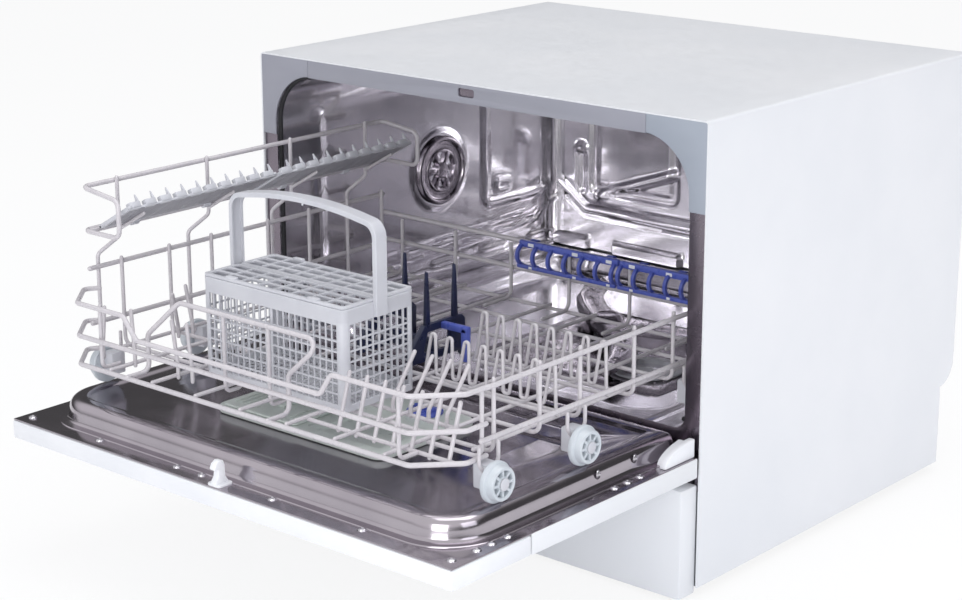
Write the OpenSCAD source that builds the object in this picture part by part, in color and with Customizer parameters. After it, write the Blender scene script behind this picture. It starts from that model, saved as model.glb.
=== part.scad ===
// Countertop dishwasher with its door open and its rack drawn out.
// Millimetres. +X right, +Y to the back, +Z up. z = 0 is the worktop it stands on.
// Y values inside front() count from the front edges of the side panels.

/* [Cabinet] */
// Overall width of the painted casing
body_w = 550; // [540:2:570]
// Overall height
body_h = 438; // [430:1:450]
// Depth of the side panels
side_depth = 455; // [450:1:470]
// Height of the side panels' lower edge above the worktop
side_bottom = 9; // [8:0.5:10]
// Thickness of the painted sheet
sheet = 1.5; // [1:0.1:2]
// Depth of the step cut into the rear lower corner
notch_depth = 24; // [20:1:28]
// Height at which that step starts to curve in
notch_top = 117; // [112:1:125]
// How far the kick panel stands in front of the side panels
kick_proud = 23; // [18:1:26]
// Height of the kick panel's top
kick_top = 108; // [104:1:110]
// How far the back panel bulges rearwards
back_bulge = 15; // [10:1:18]
// Radius of the foot pads
foot_r = 18; // [14:1:20]

/* [Wash chamber] */
// Space between each side wall of the chamber and the casing's outer side
chamber_side = 19; // [17:1:21]
// Space between the chamber's ceiling and the casing's top
chamber_over = 18; // [17:1:22]
// Height of the ledges that the wheels roll on
tub_ledge = 156; // [155:0.5:158]
// Space between the chamber's rear wall and the back panel
chamber_behind = 11; // [7:1:15]
// Radius of the opening's upper corners
opening_r = 52; // [40:1:60]
// Thickness of the stainless sheet
tub_t = 1.5; // [1:0.1:1.8]
// Height of the basin's floor
basin_floor = 138; // [134:1:142]
// Width of the ledge on each side of the basin
ledge_w = 51; // [44:1:61]

/* [Door] */
// How far the open door reaches in front of the side panels
door_reach = 332; // [320:1:340]
// Thickness of the door slab
door_t = 18; // [16:0.5:20]
// Height of the open door's outer face
door_under = 116; // [114:1:118]
// Length of the control panel at the door's free end
panel_len = 98; // [90:1:110]
// Distance from the door's sides to the inner liner
liner_side = 22; // [21:1:27]
// Distance from the door's free end to the liner
liner_inset = 26; // [20:1:32]
// Radius of the liner's front corners
liner_r = 45; // [30:1:55]
// Half of the detergent dispenser's length
dispenser_half = 105; // [95:1:115]
// Width of the detergent dispenser
dispenser_w = 128; // [115:1:135]

/* [Rack] */
// Space between the rack's side wires and the chamber's side walls
rack_side = 25; // [23:1:30]
// How far the rack's front stands in front of the side panels
rack_front = 298; // [290:1:302]
// How far the rack's rear stands behind the side panels' front edge
rack_rear = 130; // [124:1:132]
// Radius of the frame wires
wire_r = 2.5; // [2:0.1:3]
// Radius of the thinner wires
thin_r = 2; // [1.6:0.1:2.4]
// Height of the rack's floor wires
rack_floor_z = 194.5; // [193:0.5:197]
// Height of the front and right top rails
rack_top_z = 252; // [245:1:260]
// Height of the rear top rail
rear_top_z = 255; // [250:1:262]
// Height of the left side rail
left_top_z = 274; // [268:1:280]
// Radius of the rack wheels
wheel_r = 18; // [16:0.5:20]
// Thickness of the rack wheels
wheel_t = 12; // [9:0.5:12.5]
// Height of the cup shelf's top rail
shelf_top_z = 353; // [345:1:365]
// Height of the cup shelf's lower wires
shelf_low_z = 312; // [306:1:320]
// Width of the cup shelf's frame
shelf_w = 50; // [44:1:56]
// Tilt of the cup trays at rest
tray_tilt = 30; // [26:1:40]

/* [Cutlery basket] */
// Length of the basket
basket_l = 176; // [160:1:180]
// Width of the basket
basket_w = 90; // [80:1:96]
// Height of the basket's body
basket_h = 91; // [85:1:100]
// Height of the strap handle above the lids
handle_h = 84; // [70:1:88]

/* [Spray system] */
// Length of the spray arm from its axis to its tip
arm_r = 170; // [150:1:175]
// Radius of the post that the arm turns on
post_r = 9; // [8:0.5:10]

/* [Hidden] */
$fn = 48;
touch = 0.3;
bead = 1.5;
elbow = 1.02;
running = 0.05;
white = [0.93, 0.94, 0.96];
fascia_grey = [0.68, 0.68, 0.72];
steel = [0.66, 0.64, 0.66];
wire_grey = [0.77, 0.75, 0.76];
plastic_grey = [0.78, 0.8, 0.82];
wheel_grey = [0.72, 0.78, 0.8];
blue = [0.24, 0.3, 0.68];
navy = [0.13, 0.16, 0.34];
dark = [0.16, 0.16, 0.18];

half_w = body_w / 2;
inner_half = half_w - sheet;
tub_half = half_w - chamber_side;
tub_top = body_h - chamber_over;
tub_back = side_depth - chamber_behind;
basin_half = tub_half - ledge_w;
liner_half = half_w - liner_side;
rack_half = tub_half - rack_side;
front_y = (door_reach - side_depth - back_bulge) / 2;

fascia_t = 2;
flange_y = fascia_t;
flange_half = inner_half - 0.2;
trim_end_z = tub_top - opening_r - 12;
strip_z = tub_top - 1;
side_trim_x = tub_half - 48;
slot_x = 10;
slot_z = tub_top + 5;
slot_h = 8;

door_top = door_under + door_t;
flange_t = 1.2;
liner_z = door_top + flange_t;
liner_top = tub_ledge;
liner_front = -door_reach + liner_inset;
liner_back = -4;
seam_y = -door_reach + panel_len;
panel_wall = 2.5;
hinge_y = -18;
hinge_z = door_under + 6;
arm_x = half_w - 13;
arm_t = 3;
pin_r = 3;
spring_y0 = 46;
spring_y1 = 170;

dispenser_y = seam_y + 66;
bay_w = 80;
lid_travel = 92;

button_r = 5;
button_y = -door_reach + 62;
button_out = 1.2;
button_x = [-150, 96, 132];
board_z = door_under + 5;

chamfer_x = 32;
chamfer_y = 34;
corner_y = -rack_front + chamfer_y;
mid_z = rack_floor_z + 26.5;
low_side_z = 208;
wheel_z = tub_ledge + touch + wheel_r;
wheel_x = rack_half + 9;
wheel_y = [corner_y + 22, -128, rack_rear - 90];
axle_r = 4;
clip_w = 14;

shelf_post_y = [corner_y + 32, -120, -8, rack_rear - 30];
joggle = 20;
tray_x = -rack_half + 6;
tray_rod_r = 2.2;
strut_r = 1.8;
tray_len = 186;
tray_w = 54;
tray_t = 3;
tray_y = [corner_y + 4, corner_y + 10 + tray_len];

basket_x = -97;
basket_y = -rack_front + 50;
basket_z = rack_floor_z + wire_r + touch;
basket_top = basket_z + basket_h;
basket_wall = 2.2;
lid_t = 2.4;

arm_y = 220;
arm_z = 152;
arm_h = 10;
jet_r = 1.5;
sump_x = [-70, 150];
sump_y = [100, 300];
sump_low = 40;
base_floor = side_bottom + 0.5;
base_t = 2;
base_wall_z = 100;
foot_stem_r = 5;
filter_at = [98, 160];
filter_r = 30;
port_z = 60;
hose_r = 9.5;
inlet_x = -150;
inlet_r = 13.2;
inlet_neck_r = inlet_r - 0.6;
inlet_neck = 4.5;
valve_depth = 46;
drain_x = -90;
gland_x = half_w - 85;
rear_low_y = side_depth - notch_depth;

// ---------- helpers ----------

module front() {
  translate([0, front_y, 0]) children();
}

module block(lo, hi) {
  translate(lo) cube([hi[0] - lo[0], hi[1] - lo[1], hi[2] - lo[2]]);
}

module mirrored() {
  children();
  mirror([1, 0, 0]) children();
}

// A round bar from a to b.
module bar(a, b, r) {
  d = b - a;
  len = norm(d);
  translate(a) rotate([0, acos(d[2] / len), atan2(d[1], d[0])]) cylinder(h = len, r = r);
}

// A bent wire through the points of a path: straight bars that end inside a ball at each bend.
module wire(path, r) {
  last = len(path) - 1;
  for (i = [0 : last - 1]) {
    along = (path[i + 1] - path[i]) / norm(path[i + 1] - path[i]) * r * elbow;
    bar(i == 0 ? path[0] : path[i] + along, i == last - 1 ? path[last] : path[i + 1] - along, r);
  }
  for (i = [1 : 1 : last - 1]) ball(path[i], path[i - 1], path[i + 1], r * bead);
}

// A ball at the bend between two neighbours, its seam on the outside of the bend.
module ball(at, before, after, r) {
  a = (before - at) / norm(before - at);
  b = (after - at) / norm(after - at);
  out = -(a + b) / norm(a + b);
  axis = cross(a, b) / norm(cross(a, b));
  side = cross(axis, out);
  multmatrix([
    [out[0], side[0], axis[0], at[0]], [out[1], side[1], axis[1], at[1]], [out[2], side[2], axis[2], at[2]]
  ]) sphere(r);
}

// A flat shape in the plane of Y and Z, raised along X from x to x + t.
module in_yz(x, t) {
  translate([x, 0, 0]) rotate([90, 0, 90]) linear_extrude(t) children();
}

// A flat shape in the plane of X and Z, raised along Y from y to y + t.
module in_xz(y, t) {
  translate([0, y + t, 0]) rotate([90, 0, 0]) linear_extrude(t) children();
}

// A rectangle with round upper corners and small round lower ones.
module arch2d(half, low, high, r_high, r_low) {
  translate([-half, low + r_low]) square([2 * half, high - low - r_high - r_low]);
  translate([-half + r_high, high - r_high - 1]) square([2 * (half - r_high), r_high + 1]);
  translate([-half + r_low, low]) square([2 * (half - r_low), r_low + 1]);
  for (s = [-1, 1]) {
    translate([s * (half - r_high), high - r_high]) circle(r_high);
    translate([s * (half - r_low), low + r_low]) circle(r_low);
  }
}

module opening2d(grow) {
  arch2d(tub_half + grow, tub_ledge - grow, tub_top + grow, opening_r + grow, 12 + grow);
}

// ---------- cabinet ----------

module side_outline() {
  difference() {
    translate([0, side_bottom]) square([side_depth, body_h - side_bottom]);
    translate([rear_low_y, 0]) square([notch_depth + 1, notch_top - notch_depth]);
    difference() {
      translate([rear_low_y, notch_top - notch_depth]) square(notch_depth + 1);
      translate([rear_low_y, notch_top]) circle(notch_depth);
      translate([rear_low_y, notch_top]) square(notch_depth + 1);
    }
  }
}

module outer_wrap() {
  color(white) front() {
    in_yz(-half_w, sheet) side_outline();
    in_yz(half_w - sheet, sheet) side_outline();
    block([-half_w, 0, body_h - sheet], [half_w, side_depth, body_h]);
  }
}

module back_panel() {
  bulge_x = half_w - 65;
  bulge_z = [150, body_h - 28];
  color(white) front() difference() {
    union() {
      block([-half_w, side_depth, notch_top], [half_w, side_depth + sheet, body_h]);
      block([-bulge_x, side_depth, bulge_z[0]], [bulge_x, side_depth + back_bulge, bulge_z[1]]);
      block([-half_w, rear_low_y, side_bottom], [half_w, rear_low_y + sheet, notch_top - notch_depth]);
      in_yz(-half_w, body_w) difference() {
        translate([rear_low_y, notch_top]) circle(notch_depth + sheet);
        translate([rear_low_y, notch_top]) circle(notch_depth);
        translate([0, 0]) square([rear_low_y, body_h]);
        translate([0, notch_top]) square([side_depth + 10, body_h]);
      }
    }
    block([-bulge_x + sheet, side_depth - 1, bulge_z[0] + sheet],
      [bulge_x - sheet, side_depth + back_bulge - sheet, bulge_z[1] - sheet]);
    port_hole(inlet_x, inlet_r + 0.4);
    port_hole(drain_x, hose_r + 0.3);
    port_hole(gland_x, 7);
  }
}

module port_hole(x, r) {
  translate([x, rear_low_y - 1, port_z]) rotate([-90, 0, 0]) cylinder(h = 10, r = r);
}

module base_tray() {
  y0 = flange_y;
  spring_end = spring_y1 + touch;
  post_x = arm_x + arm_t + 1;
  post_t = 2.5;
  color(steel) front() {
    difference() {
      block([-flange_half, y0, base_floor], [flange_half, rear_low_y, base_wall_z]);
      block([-flange_half + base_t, y0 + base_t, base_floor + base_t],
        [flange_half - base_t, rear_low_y - base_t, base_wall_z + 1]);
      foot_places() translate([0, 0, base_floor - 1]) cylinder(h = 4, r = foot_stem_r + 0.2);
      block([-flange_half + 30, rear_low_y - base_t - 1, 30],
        [flange_half - 30, rear_low_y + 1, base_wall_z + 1]);
    }
    mirrored() {
      difference() {
        union() {
          block([post_x, hinge_y - 7, hinge_z - 4], [post_x + post_t, y0 + base_t, hinge_z + 4]);
          block([post_x, y0, base_wall_z - 10], [post_x + post_t, 40, hinge_z + 4]);
        }
        translate([post_x - 1, hinge_y, hinge_z]) rotate([0, 90, 0]) cylinder(h = 5, r = pin_r + running);
      }
      block([arm_x - 6, spring_end, base_floor], [arm_x + 8, spring_end + 2, base_wall_z]);
    }
  }
}

module foot_places() {
  for (x = [-1, 1], y = [34, rear_low_y - 40]) translate([x * (half_w - 50), y, 0]) children();
}

module feet() {
  color(dark) front() foot_places() {
    cylinder(h = base_floor, r = foot_r);
    cylinder(h = 24, r = foot_stem_r);
  }
}

module kick_panel() {
  x = half_w - 3;
  color(white) front() difference() {
    block([-x, -kick_proud, side_bottom - 6], [x, flange_y, kick_top]);
    block([-x + sheet, -kick_proud + sheet, side_bottom - 8], [x - sheet, flange_y + 1, kick_top - sheet]);
  }
}

module strike_slot() {
  block([-slot_x, -1, slot_z], [slot_x, 8, slot_z + slot_h]);
}

module top_fascia() {
  color(fascia_grey) front() difference() {
    block([-side_trim_x, 0, strip_z], [side_trim_x, fascia_t, body_h - sheet]);
    strike_slot();
  }
}

module corner_trim() {
  in_xz(0, fascia_t) difference() {
    translate([side_trim_x, trim_end_z]) square([inner_half - side_trim_x, body_h - sheet - trim_end_z]);
    opening2d(0);
  }
}

module corner_trim_right() {
  color(fascia_grey) front() corner_trim();
}

module corner_trim_left() {
  color(fascia_grey) front() mirror([1, 0, 0]) corner_trim();
}

module latch_strike() {
  y = flange_y + tub_t;
  color(dark) front() difference() {
    block([-slot_x - 6, y, tub_top + tub_t + 0.3], [slot_x + 6, y + 14, body_h - sheet - 1]);
    block([-slot_x - 1, y - 1, slot_z - 0.5], [slot_x + 1, y + 11, slot_z + slot_h + 0.5]);
  }
}

module tub_gasket() {
  color(dark) front() in_xz(flange_y + 2, 10) difference() {
    opening2d(0);
    opening2d(-2);
    translate([-tub_half, tub_ledge - 5]) square([2 * tub_half, 12]);
  }
}

// ---------- wash chamber ----------

module tub_shell() {
  basin_y = [20, tub_back - 24];
  color(steel) front() difference() {
    union() {
      in_xz(flange_y, tub_back - flange_y + tub_t) opening2d(tub_t);
      block([-basin_half - tub_t, basin_y[0] - tub_t, basin_floor - tub_t],
        [basin_half + tub_t, basin_y[1] + tub_t, tub_ledge]);
      block([-flange_half, flange_y, base_wall_z], [flange_half, flange_y + tub_t, body_h - sheet - 0.2]);
    }
    in_xz(flange_y - 1, tub_back - flange_y + 1) opening2d(0);
    block([-basin_half, basin_y[0], basin_floor], [basin_half, basin_y[1], tub_ledge + 1]);
    block([sump_x[0] + 6, sump_y[0] + 6, basin_floor - 5], [sump_x[1] - 6, sump_y[1] - 6, basin_floor + 1]);
    mirrored() block([arm_x - 3, flange_y - 1, 94], [arm_x + arm_t + 5, flange_y + 5, hinge_z + 12]);
    strike_slot();
    translate([-tub_half - 5, vent_at()[0], vent_at()[1]]) rotate([0, 90, 0]) cylinder(h = 8, r = 26);
  }
}

function vent_at() = [246, 277];

module wall_vent_cap() {
  color(steel) front() translate([-tub_half, vent_at()[0], vent_at()[1]]) rotate([0, 90, 0]) {
    difference() {
      cylinder(h = 5, r = 38);
      translate([0, 0, 2.5]) cylinder(h = 5, r = 33);
    }
    translate([0, 0, 2.4]) cylinder(h = 3.6, r = 7);
    for (a = [0 : 60 : 300]) rotate(a) translate([5, -2, 2.4]) cube([22, 4, 3.2]);
    translate([0, 0, -12]) difference() {
      cylinder(h = 12, r = 25.8);
      translate([0, 0, -1]) cylinder(h = 11, r = 23.8);
    }
  }
}

module sump() {
  wall = 3;
  top = basin_floor - tub_t;
  color(dark) front() {
    difference() {
      block([sump_x[0], sump_y[0], sump_low], [sump_x[1], sump_y[1], top]);
      block([sump_x[0] + wall, sump_y[0] + wall, sump_low + wall],
        [sump_x[1] - wall, sump_y[1] - wall, top + 1]);
    }
    translate([0, arm_y, sump_low + 1]) cylinder(h = arm_z - 3 - touch - sump_low - 1, r = post_r + 4);
    translate([0, arm_y, sump_low + 1]) cylinder(h = arm_z + arm_h - 2 - sump_low, r = post_r);
    for (x = sump_x, y = sump_y) {
      sx = x < 0 ? x : x - 8;
      sy = y < 200 ? y : y - 8;
      block([sx, sy, base_floor + base_t], [sx + 8, sy + 8, sump_low]);
    }
  }
}

module filter_plate() {
  margin = 3;
  color(steel) front() difference() {
    block([sump_x[0] - margin, sump_y[0] - margin, basin_floor],
      [sump_x[1] + margin, sump_y[1] + margin, basin_floor + 1.5]);
    translate([0, arm_y, basin_floor - 1]) cylinder(h = 4, r = post_r + 5);
    translate([filter_at[0], filter_at[1], basin_floor - 1]) cylinder(h = 4, r = filter_r + 0.5);
  }
}

module coarse_filter() {
  color(plastic_grey) front() translate([filter_at[0], filter_at[1], basin_floor]) {
    difference() {
      union() {
        translate([0, 0, -60]) cylinder(h = 62, r = filter_r);
        translate([0, 0, 1.5]) cylinder(h = 3, r = filter_r + 6);
      }
      translate([0, 0, -57]) cylinder(h = 70, r = filter_r - 3);
    }
    translate([-filter_r + 1, -2, 0]) cube([2 * filter_r - 2, 4, 4.5]);
  }
}

// One blade of the spray arm, bent like half of an S.
module spray_blade() {
  bend = arm_r * 0.55;
  hull() {
    cylinder(h = arm_h, r = 17, $fn = 32);
    translate([bend, 14, 0]) cylinder(h = arm_h, r = 13, $fn = 32);
  }
  hull() {
    translate([bend, 14, 0]) cylinder(h = arm_h, r = 13, $fn = 32);
    translate([arm_r - 10, -6, 0]) cylinder(h = arm_h - 2, r = 9, $fn = 32);
  }
}

module spray_arm() {
  color(steel) front() translate([0, arm_y, arm_z]) rotate(-50) difference() {
    union() {
      spray_blade();
      rotate(180) spray_blade();
      translate([0, 0, -3]) cylinder(h = arm_h + 7, r = post_r + 8);
    }
    translate([0, 0, -4]) cylinder(h = arm_h + 4, r = post_r + running);
    for (s = [0, 180], i = [1 : 4]) rotate(s) translate([30 + i * 30, 12 - i * 2, -1]) {
      cylinder(h = arm_h + 2, r = jet_r);
    }
  }
}

module wash_pump() {
  y = 215;
  z = 84;
  color(dark) front() {
    translate([sump_x[0], y, z]) rotate([0, -90, 0]) {
      cylinder(h = 34, r = 44);
      cylinder(h = 140, r = 33);
      cylinder(h = 146, r = 8);
    }
    block([sump_x[0] - 120, y - 25, base_floor + base_t], [sump_x[0] - 50, y + 25, z - 25]);
  }
}

module drain_pump() {
  color(dark) front() {
    translate([sump_x[1], 150, 66]) rotate([0, 90, 0]) {
      cylinder(h = 22, r = 27);
      cylinder(h = 62, r = 20);
    }
    block([sump_x[1] + 4, 138, base_floor + base_t], [sump_x[1] + 20, 162, 50]);
  }
}

module heater() {
  color(steel) front() {
    translate([sump_x[0], 285, 80]) rotate([0, -90, 0]) {
      cylinder(h = 120, r = 14);
      cylinder(h = 10, r = 17);
      translate([0, 0, 120]) cylinder(h = 10, r = 17);
    }
    block([sump_x[0] - 80, 279, base_floor + base_t], [sump_x[0] - 60, 291, 70]);
  }
}

module inlet_valve() {
  color(white) front() {
    block([inlet_x - 22, rear_low_y - valve_depth, port_z - 20], [inlet_x + 22, rear_low_y, port_z + 20]);
    translate([inlet_x, rear_low_y - 1, port_z]) rotate([-90, 0, 0]) difference() {
      union() {
        cylinder(h = inlet_neck + 1, r = inlet_neck_r);
        translate([0, 0, inlet_neck]) cylinder(h = notch_depth - 2 - inlet_neck, r = inlet_r);
      }
      translate([0, 0, 5]) cylinder(h = 30, r = 9);
    }
    translate([inlet_x, rear_low_y - 28, port_z + 20]) cylinder(h = 20, r = 13);
  }
}

module hoses() {
  y_drain = rear_low_y - 30;
  y_inlet = rear_low_y - valve_depth - 30;
  low = 28;
  drain_end = [200, 150];
  color(dark) front() {
    difference() {
      union() {
        wire([[drain_x, rear_low_y + notch_depth - 3, port_z], [drain_x, y_drain, port_z],
          [drain_x, y_drain, low], [drain_end[0], y_drain, low], [drain_end[0], drain_end[1], low],
          [drain_end[0], drain_end[1], 46 - touch]], hose_r);
        translate([drain_x, rear_low_y + sheet, port_z]) rotate([-90, 0, 0]) cylinder(h = 2.5, r = 13);
      }
      translate([drain_x, rear_low_y + 3, port_z]) rotate([-90, 0, 0]) cylinder(h = 40, r = hose_r - 3);
    }
    wire([[inlet_x, rear_low_y - valve_depth, port_z], [inlet_x, y_inlet, port_z], [0, y_inlet, port_z],
      [0, sump_y[1], port_z]], 8);
  }
}

module cable_gland() {
  color(dark) front() translate([gland_x, rear_low_y + sheet, port_z]) rotate([-90, 0, 0]) {
    difference() {
      union() {
        cylinder(h = 4, r = 11);
        translate([0, 0, -14]) cylinder(h = 15, r = 6.9);
        cylinder(h = 12, r = 7.5);
      }
      translate([0, 0, -20]) cylinder(h = 40, r = 3.6);
    }
  }
}

// ---------- door ----------

module door_outer_panel() {
  color(white) front() difference() {
    block([-half_w, seam_y, door_under], [half_w, -3, door_top]);
    block([-half_w + sheet, seam_y - 1, door_under + sheet], [half_w - sheet, -3 - sheet, door_top + 1]);
    mirrored() block([arm_x - 3, -6, door_under + sheet], [arm_x + arm_t + 5, 0, door_top + 1]);
  }
}

module control_panel() {
  grip = [60, 26, 10];
  grip_y = -door_reach + 10;
  color(white) front() difference() {
    union() {
      difference() {
        block([-half_w, -door_reach, door_under], [half_w, seam_y, door_top]);
        block([-half_w + panel_wall, -door_reach + panel_wall, door_under + panel_wall],
          [half_w - panel_wall, seam_y - panel_wall, door_top + 1]);
      }
      block([-grip[0] - panel_wall, grip_y - panel_wall, door_under],
        [grip[0] + panel_wall, grip_y + grip[1] + panel_wall, door_under + grip[2] + panel_wall]);
      for (x = [-112, 152]) translate([x, button_y, door_under + 1]) {
        cylinder(h = board_z - door_under - 1, r = 4);
      }
    }
    block([-grip[0], grip_y, door_under - 1], [grip[0], grip_y + grip[1], door_under + grip[2]]);
    for (x = button_x) translate([x, button_y, door_under - 1]) cylinder(h = 5, r = button_r + 0.15);
    window_block(2);
  }
}

module window_block(extra) {
  block([-20, button_y - 14, door_under - extra], [50, button_y + 14, door_under + panel_wall + extra]);
}

module display_window() {
  color(dark) front() window_block(0);
}

module button(i) {
  translate([button_x[i], button_y, door_under - button_out]) {
    cylinder(h = button_out + panel_wall + 1, r = button_r);
  }
  translate([button_x[i], button_y, door_under + panel_wall]) cylinder(h = 1, r = button_r + 1.5);
}

module power_button() {
  color(plastic_grey) front() button(0);
}

module program_button() {
  color(plastic_grey) front() button(1);
}

module start_button() {
  color(plastic_grey) front() button(2);
}

module control_board() {
  color([0.1, 0.35, 0.2]) front() {
    block([-160, button_y - 22, board_z], [165, button_y + 26, board_z + 1.6]);
    block([-90, button_y - 15, board_z + 1.6], [-60, button_y + 10, board_z + 9]);
    block([60, button_y - 15, board_z + 1.6], [84, button_y + 10, board_z + 6]);
  }
}

// The liner's outline seen from above: round at the free end, square at the hinges.
module liner2d(inset) {
  r = liner_r - inset;
  x = liner_half - inset;
  y0 = liner_front + inset;
  y1 = liner_back - inset;
  translate([-x, y0 + r]) square([2 * x, y1 - y0 - r]);
  translate([-x + r, y0]) square([2 * (x - r), r + 1]);
  for (s = [-1, 1]) translate([s * (x - r), y0 + r]) circle(r);
}

module door_liner() {
  color(steel) front() difference() {
    union() {
      block([-half_w + 1, -door_reach + 1, door_top], [half_w - 1, liner_back, liner_z]);
      translate([0, 0, door_top]) linear_extrude(liner_top - door_top) liner2d(0);
    }
    translate([0, 0, door_top - 1]) linear_extrude(liner_top - door_top + 1 - flange_t) liner2d(flange_t);
    dispenser_well(0.2, 10);
  }
}

module dispenser_well(gap, up) {
  x = dispenser_half - 7 + gap;
  w = dispenser_w / 2 - 6 + gap;
  block([-x, dispenser_y - w, door_under + 8], [x, dispenser_y + w, liner_top + up]);
}

module dispenser_body() {
  w = dispenser_w / 2;
  bay_y = dispenser_y - w + 8;
  top = liner_top + 5;
  color(plastic_grey) front() difference() {
    union() {
      dispenser_well(0, 0);
      block([-dispenser_half, dispenser_y - w, liner_top], [dispenser_half, dispenser_y + w, top]);
    }
    block([-92, bay_y, door_under + 12], [-8, bay_y + bay_w - 8, top + 1]);
    translate([58, dispenser_y + w - 20, door_under + 12]) cylinder(h = 60, r = 13);
  }
}

module dispenser_lid() {
  w = dispenser_w / 2;
  bay_y = dispenser_y - w + 8;
  z = liner_top + 5 + touch;
  color(plastic_grey) front() {
    block([-98, bay_y - 4, z], [-4, bay_y + bay_w - 4, z + 2.4]);
    block([-60, bay_y + 20, z + 2.4], [-42, bay_y + 50, z + 5]);
  }
}

module rinse_cap() {
  w = dispenser_w / 2;
  top = liner_top + 5;
  color(blue) front() translate([58, dispenser_y + w - 20, top]) {
    translate([0, 0, touch]) cylinder(h = 3, r = 17);
    translate([0, 0, -10]) cylinder(h = 12, r = 13 - running);
    translate([-12, -1.5, 3]) cube([24, 3, 4]);
  }
}

module latch_hook() {
  y = -door_reach + 2;
  color(white) front() {
    block([-8, y, liner_z], [8, y + 16, liner_z + 3]);
    block([-3, y, liner_z + 2], [3, y + 8, liner_z + 22]);
    block([-3, y, liner_z + 18], [3, y + 12, liner_z + 22]);
  }
}

module hinge_arms() {
  low = 84;
  color(steel) front() mirrored() {
    block([arm_x, -90, hinge_z - 4], [arm_x + arm_t, 16, hinge_z + 4]);
    block([arm_x, 6, low + 4], [arm_x + arm_t, 16, hinge_z + 4]);
    block([arm_x, 6, low], [arm_x + arm_t, spring_y0, low + 12]);
    block([arm_x - 4, spring_y0 - 3, low], [arm_x + arm_t + 4, spring_y0, low + 12]);
    translate([arm_x - 4, hinge_y, hinge_z]) rotate([0, 90, 0]) cylinder(h = 12, r = pin_r);
  }
}

module hinge_springs() {
  length = spring_y1 - spring_y0 - touch;
  color(steel) front() mirrored() translate([arm_x + arm_t / 2, spring_y0 + touch, 90]) rotate([-90, 0, 0]) {
    difference() {
      cylinder(h = length, r = 5.5);
      translate([0, 0, 4]) cylinder(h = length - 8, r = 3.5);
    }
  }
}

module hinge_covers() {
  x = liner_half + 1.5;
  color(white) front() mirrored() {
    block([x, -34, liner_z], [half_w - 3, -6, liner_z + 8]);
    intersection() {
      translate([x, -20, liner_z + 2]) rotate([0, 90, 0]) cylinder(h = half_w - 3 - x, r = 12);
      block([x, -34, liner_z], [half_w - 3, -6, liner_z + 20]);
    }
  }
}

module screw_head(x, y) {
  translate([x, y, liner_z]) cylinder(h = 1.6, r = 4);
}

module door_screws() {
  color(steel) front() {
    for (s = [-1, 1], x = [60, 165, half_w - 13]) screw_head(s * x, -door_reach + 14);
    for (s = [-1, 1], y = [liner_front + 54, liner_back - 93]) screw_head(s * (half_w - 11), y);
  }
}

// ---------- rack ----------

grid_half = rack_half - 3;
grid_pitch = grid_half / 4;
rack_grid_x = [for (i = [-4 : 4]) i * grid_pitch];
rack_grid_y = [corner_y + 35, -170, -116, -40, 18, 74, rack_rear - 4];

module rack_floor() {
  color(wire_grey) front() {
    for (x = rack_grid_x) {
      y0 = abs(x) == grid_half ? corner_y : -rack_front + 4;
      bar([x, y0, rack_floor_z], [x, rack_rear - 4, rack_floor_z], thin_r);
    }
    for (y = rack_grid_y) bar([-grid_half, y, rack_floor_z], [grid_half, y, rack_floor_z], wire_r);
  }
}

// The corners of a front wire, which wraps round both ends of the rack.
function front_path(z, middle) = concat(
  [[-rack_half - 4, corner_y + 12, z], [-rack_half - 13, corner_y, z], [-rack_half + 19, -rack_front, z]],
  middle,
  [[rack_half - chamfer_x, -rack_front, z], [rack_half, corner_y, z], [rack_half, corner_y + 24, z]]
);

module rack_front() {
  top = rack_top_z;
  dip = rack_top_z - 20;
  dip_x = [-148, -131, 100, 113];
  loop_x = [-146, 36];
  loop_y = -rack_front + 26;
  loop_lean = [31, 12];
  loop_top = rack_top_z + 10;
  rod_pitch = 20.7;
  rod_y = -rack_front + 28;
  tall_rod_y = -206;
  color(wire_grey) front() {
    wire(front_path(rack_floor_z, []), wire_r);
    wire(front_path(mid_z, []), wire_r);
    wire(front_path(top, [[dip_x[0], -rack_front, top], [dip_x[1], -rack_front, dip],
      [dip_x[2], -rack_front, dip], [dip_x[3], -rack_front, top]]), wire_r);
    for (s = [-1, 1]) bar([s * 185, -rack_front, rack_floor_z], [s * 185, -rack_front, top], thin_r);
    wire([[loop_x[0], loop_y, rack_floor_z], [loop_x[0], loop_y, mid_z + 8],
      [loop_x[0] + loop_lean[0], loop_y + loop_lean[1], loop_top],
      [loop_x[1] + loop_lean[0], loop_y + loop_lean[1], loop_top],
      [loop_x[1], loop_y, mid_z + 8], [loop_x[1], loop_y, rack_floor_z]], wire_r);
    for (x = loop_x) bar([x, -rack_front, rack_floor_z], [x, loop_y, rack_floor_z], thin_r);
    for (x = [-grid_pitch, 0]) {
      bar([x, loop_y + loop_lean[1], rack_floor_z], [x, loop_y + loop_lean[1], loop_top], thin_r);
    }
    bar([grid_pitch, rod_y, rack_floor_z], [rack_half - 8, rod_y, rack_floor_z], thin_r);
    for (i = [0 : 6]) {
      x = rack_half - 14 - i * rod_pitch;
      bar([x, rod_y, rack_floor_z], [x, rod_y + 15, rack_floor_z + 45], thin_r);
    }
    bar([grid_pitch, tall_rod_y, rack_floor_z], [3 * grid_pitch, tall_rod_y, rack_floor_z], thin_r);
    for (i = [0 : 3]) {
      x = 96 + i * rod_pitch;
      bar([x, tall_rod_y, rack_floor_z], [x, tall_rod_y + 24, rack_floor_z + 46], thin_r);
    }
  }
}

module rack_right() {
  x = rack_half;
  color(wire_grey) front() {
    bar([x, corner_y, rack_top_z], [x, rack_rear, rack_top_z], wire_r);
    bar([x, corner_y + 16, low_side_z], [x, rack_rear, low_side_z], wire_r);
    bar([x, corner_y + 20, rack_floor_z], [x, corner_y + 20, rack_top_z], thin_r);
    for (y = rack_grid_y) bar([x, y, rack_floor_z], [x, y, rack_top_z], thin_r);
  }
}

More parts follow.
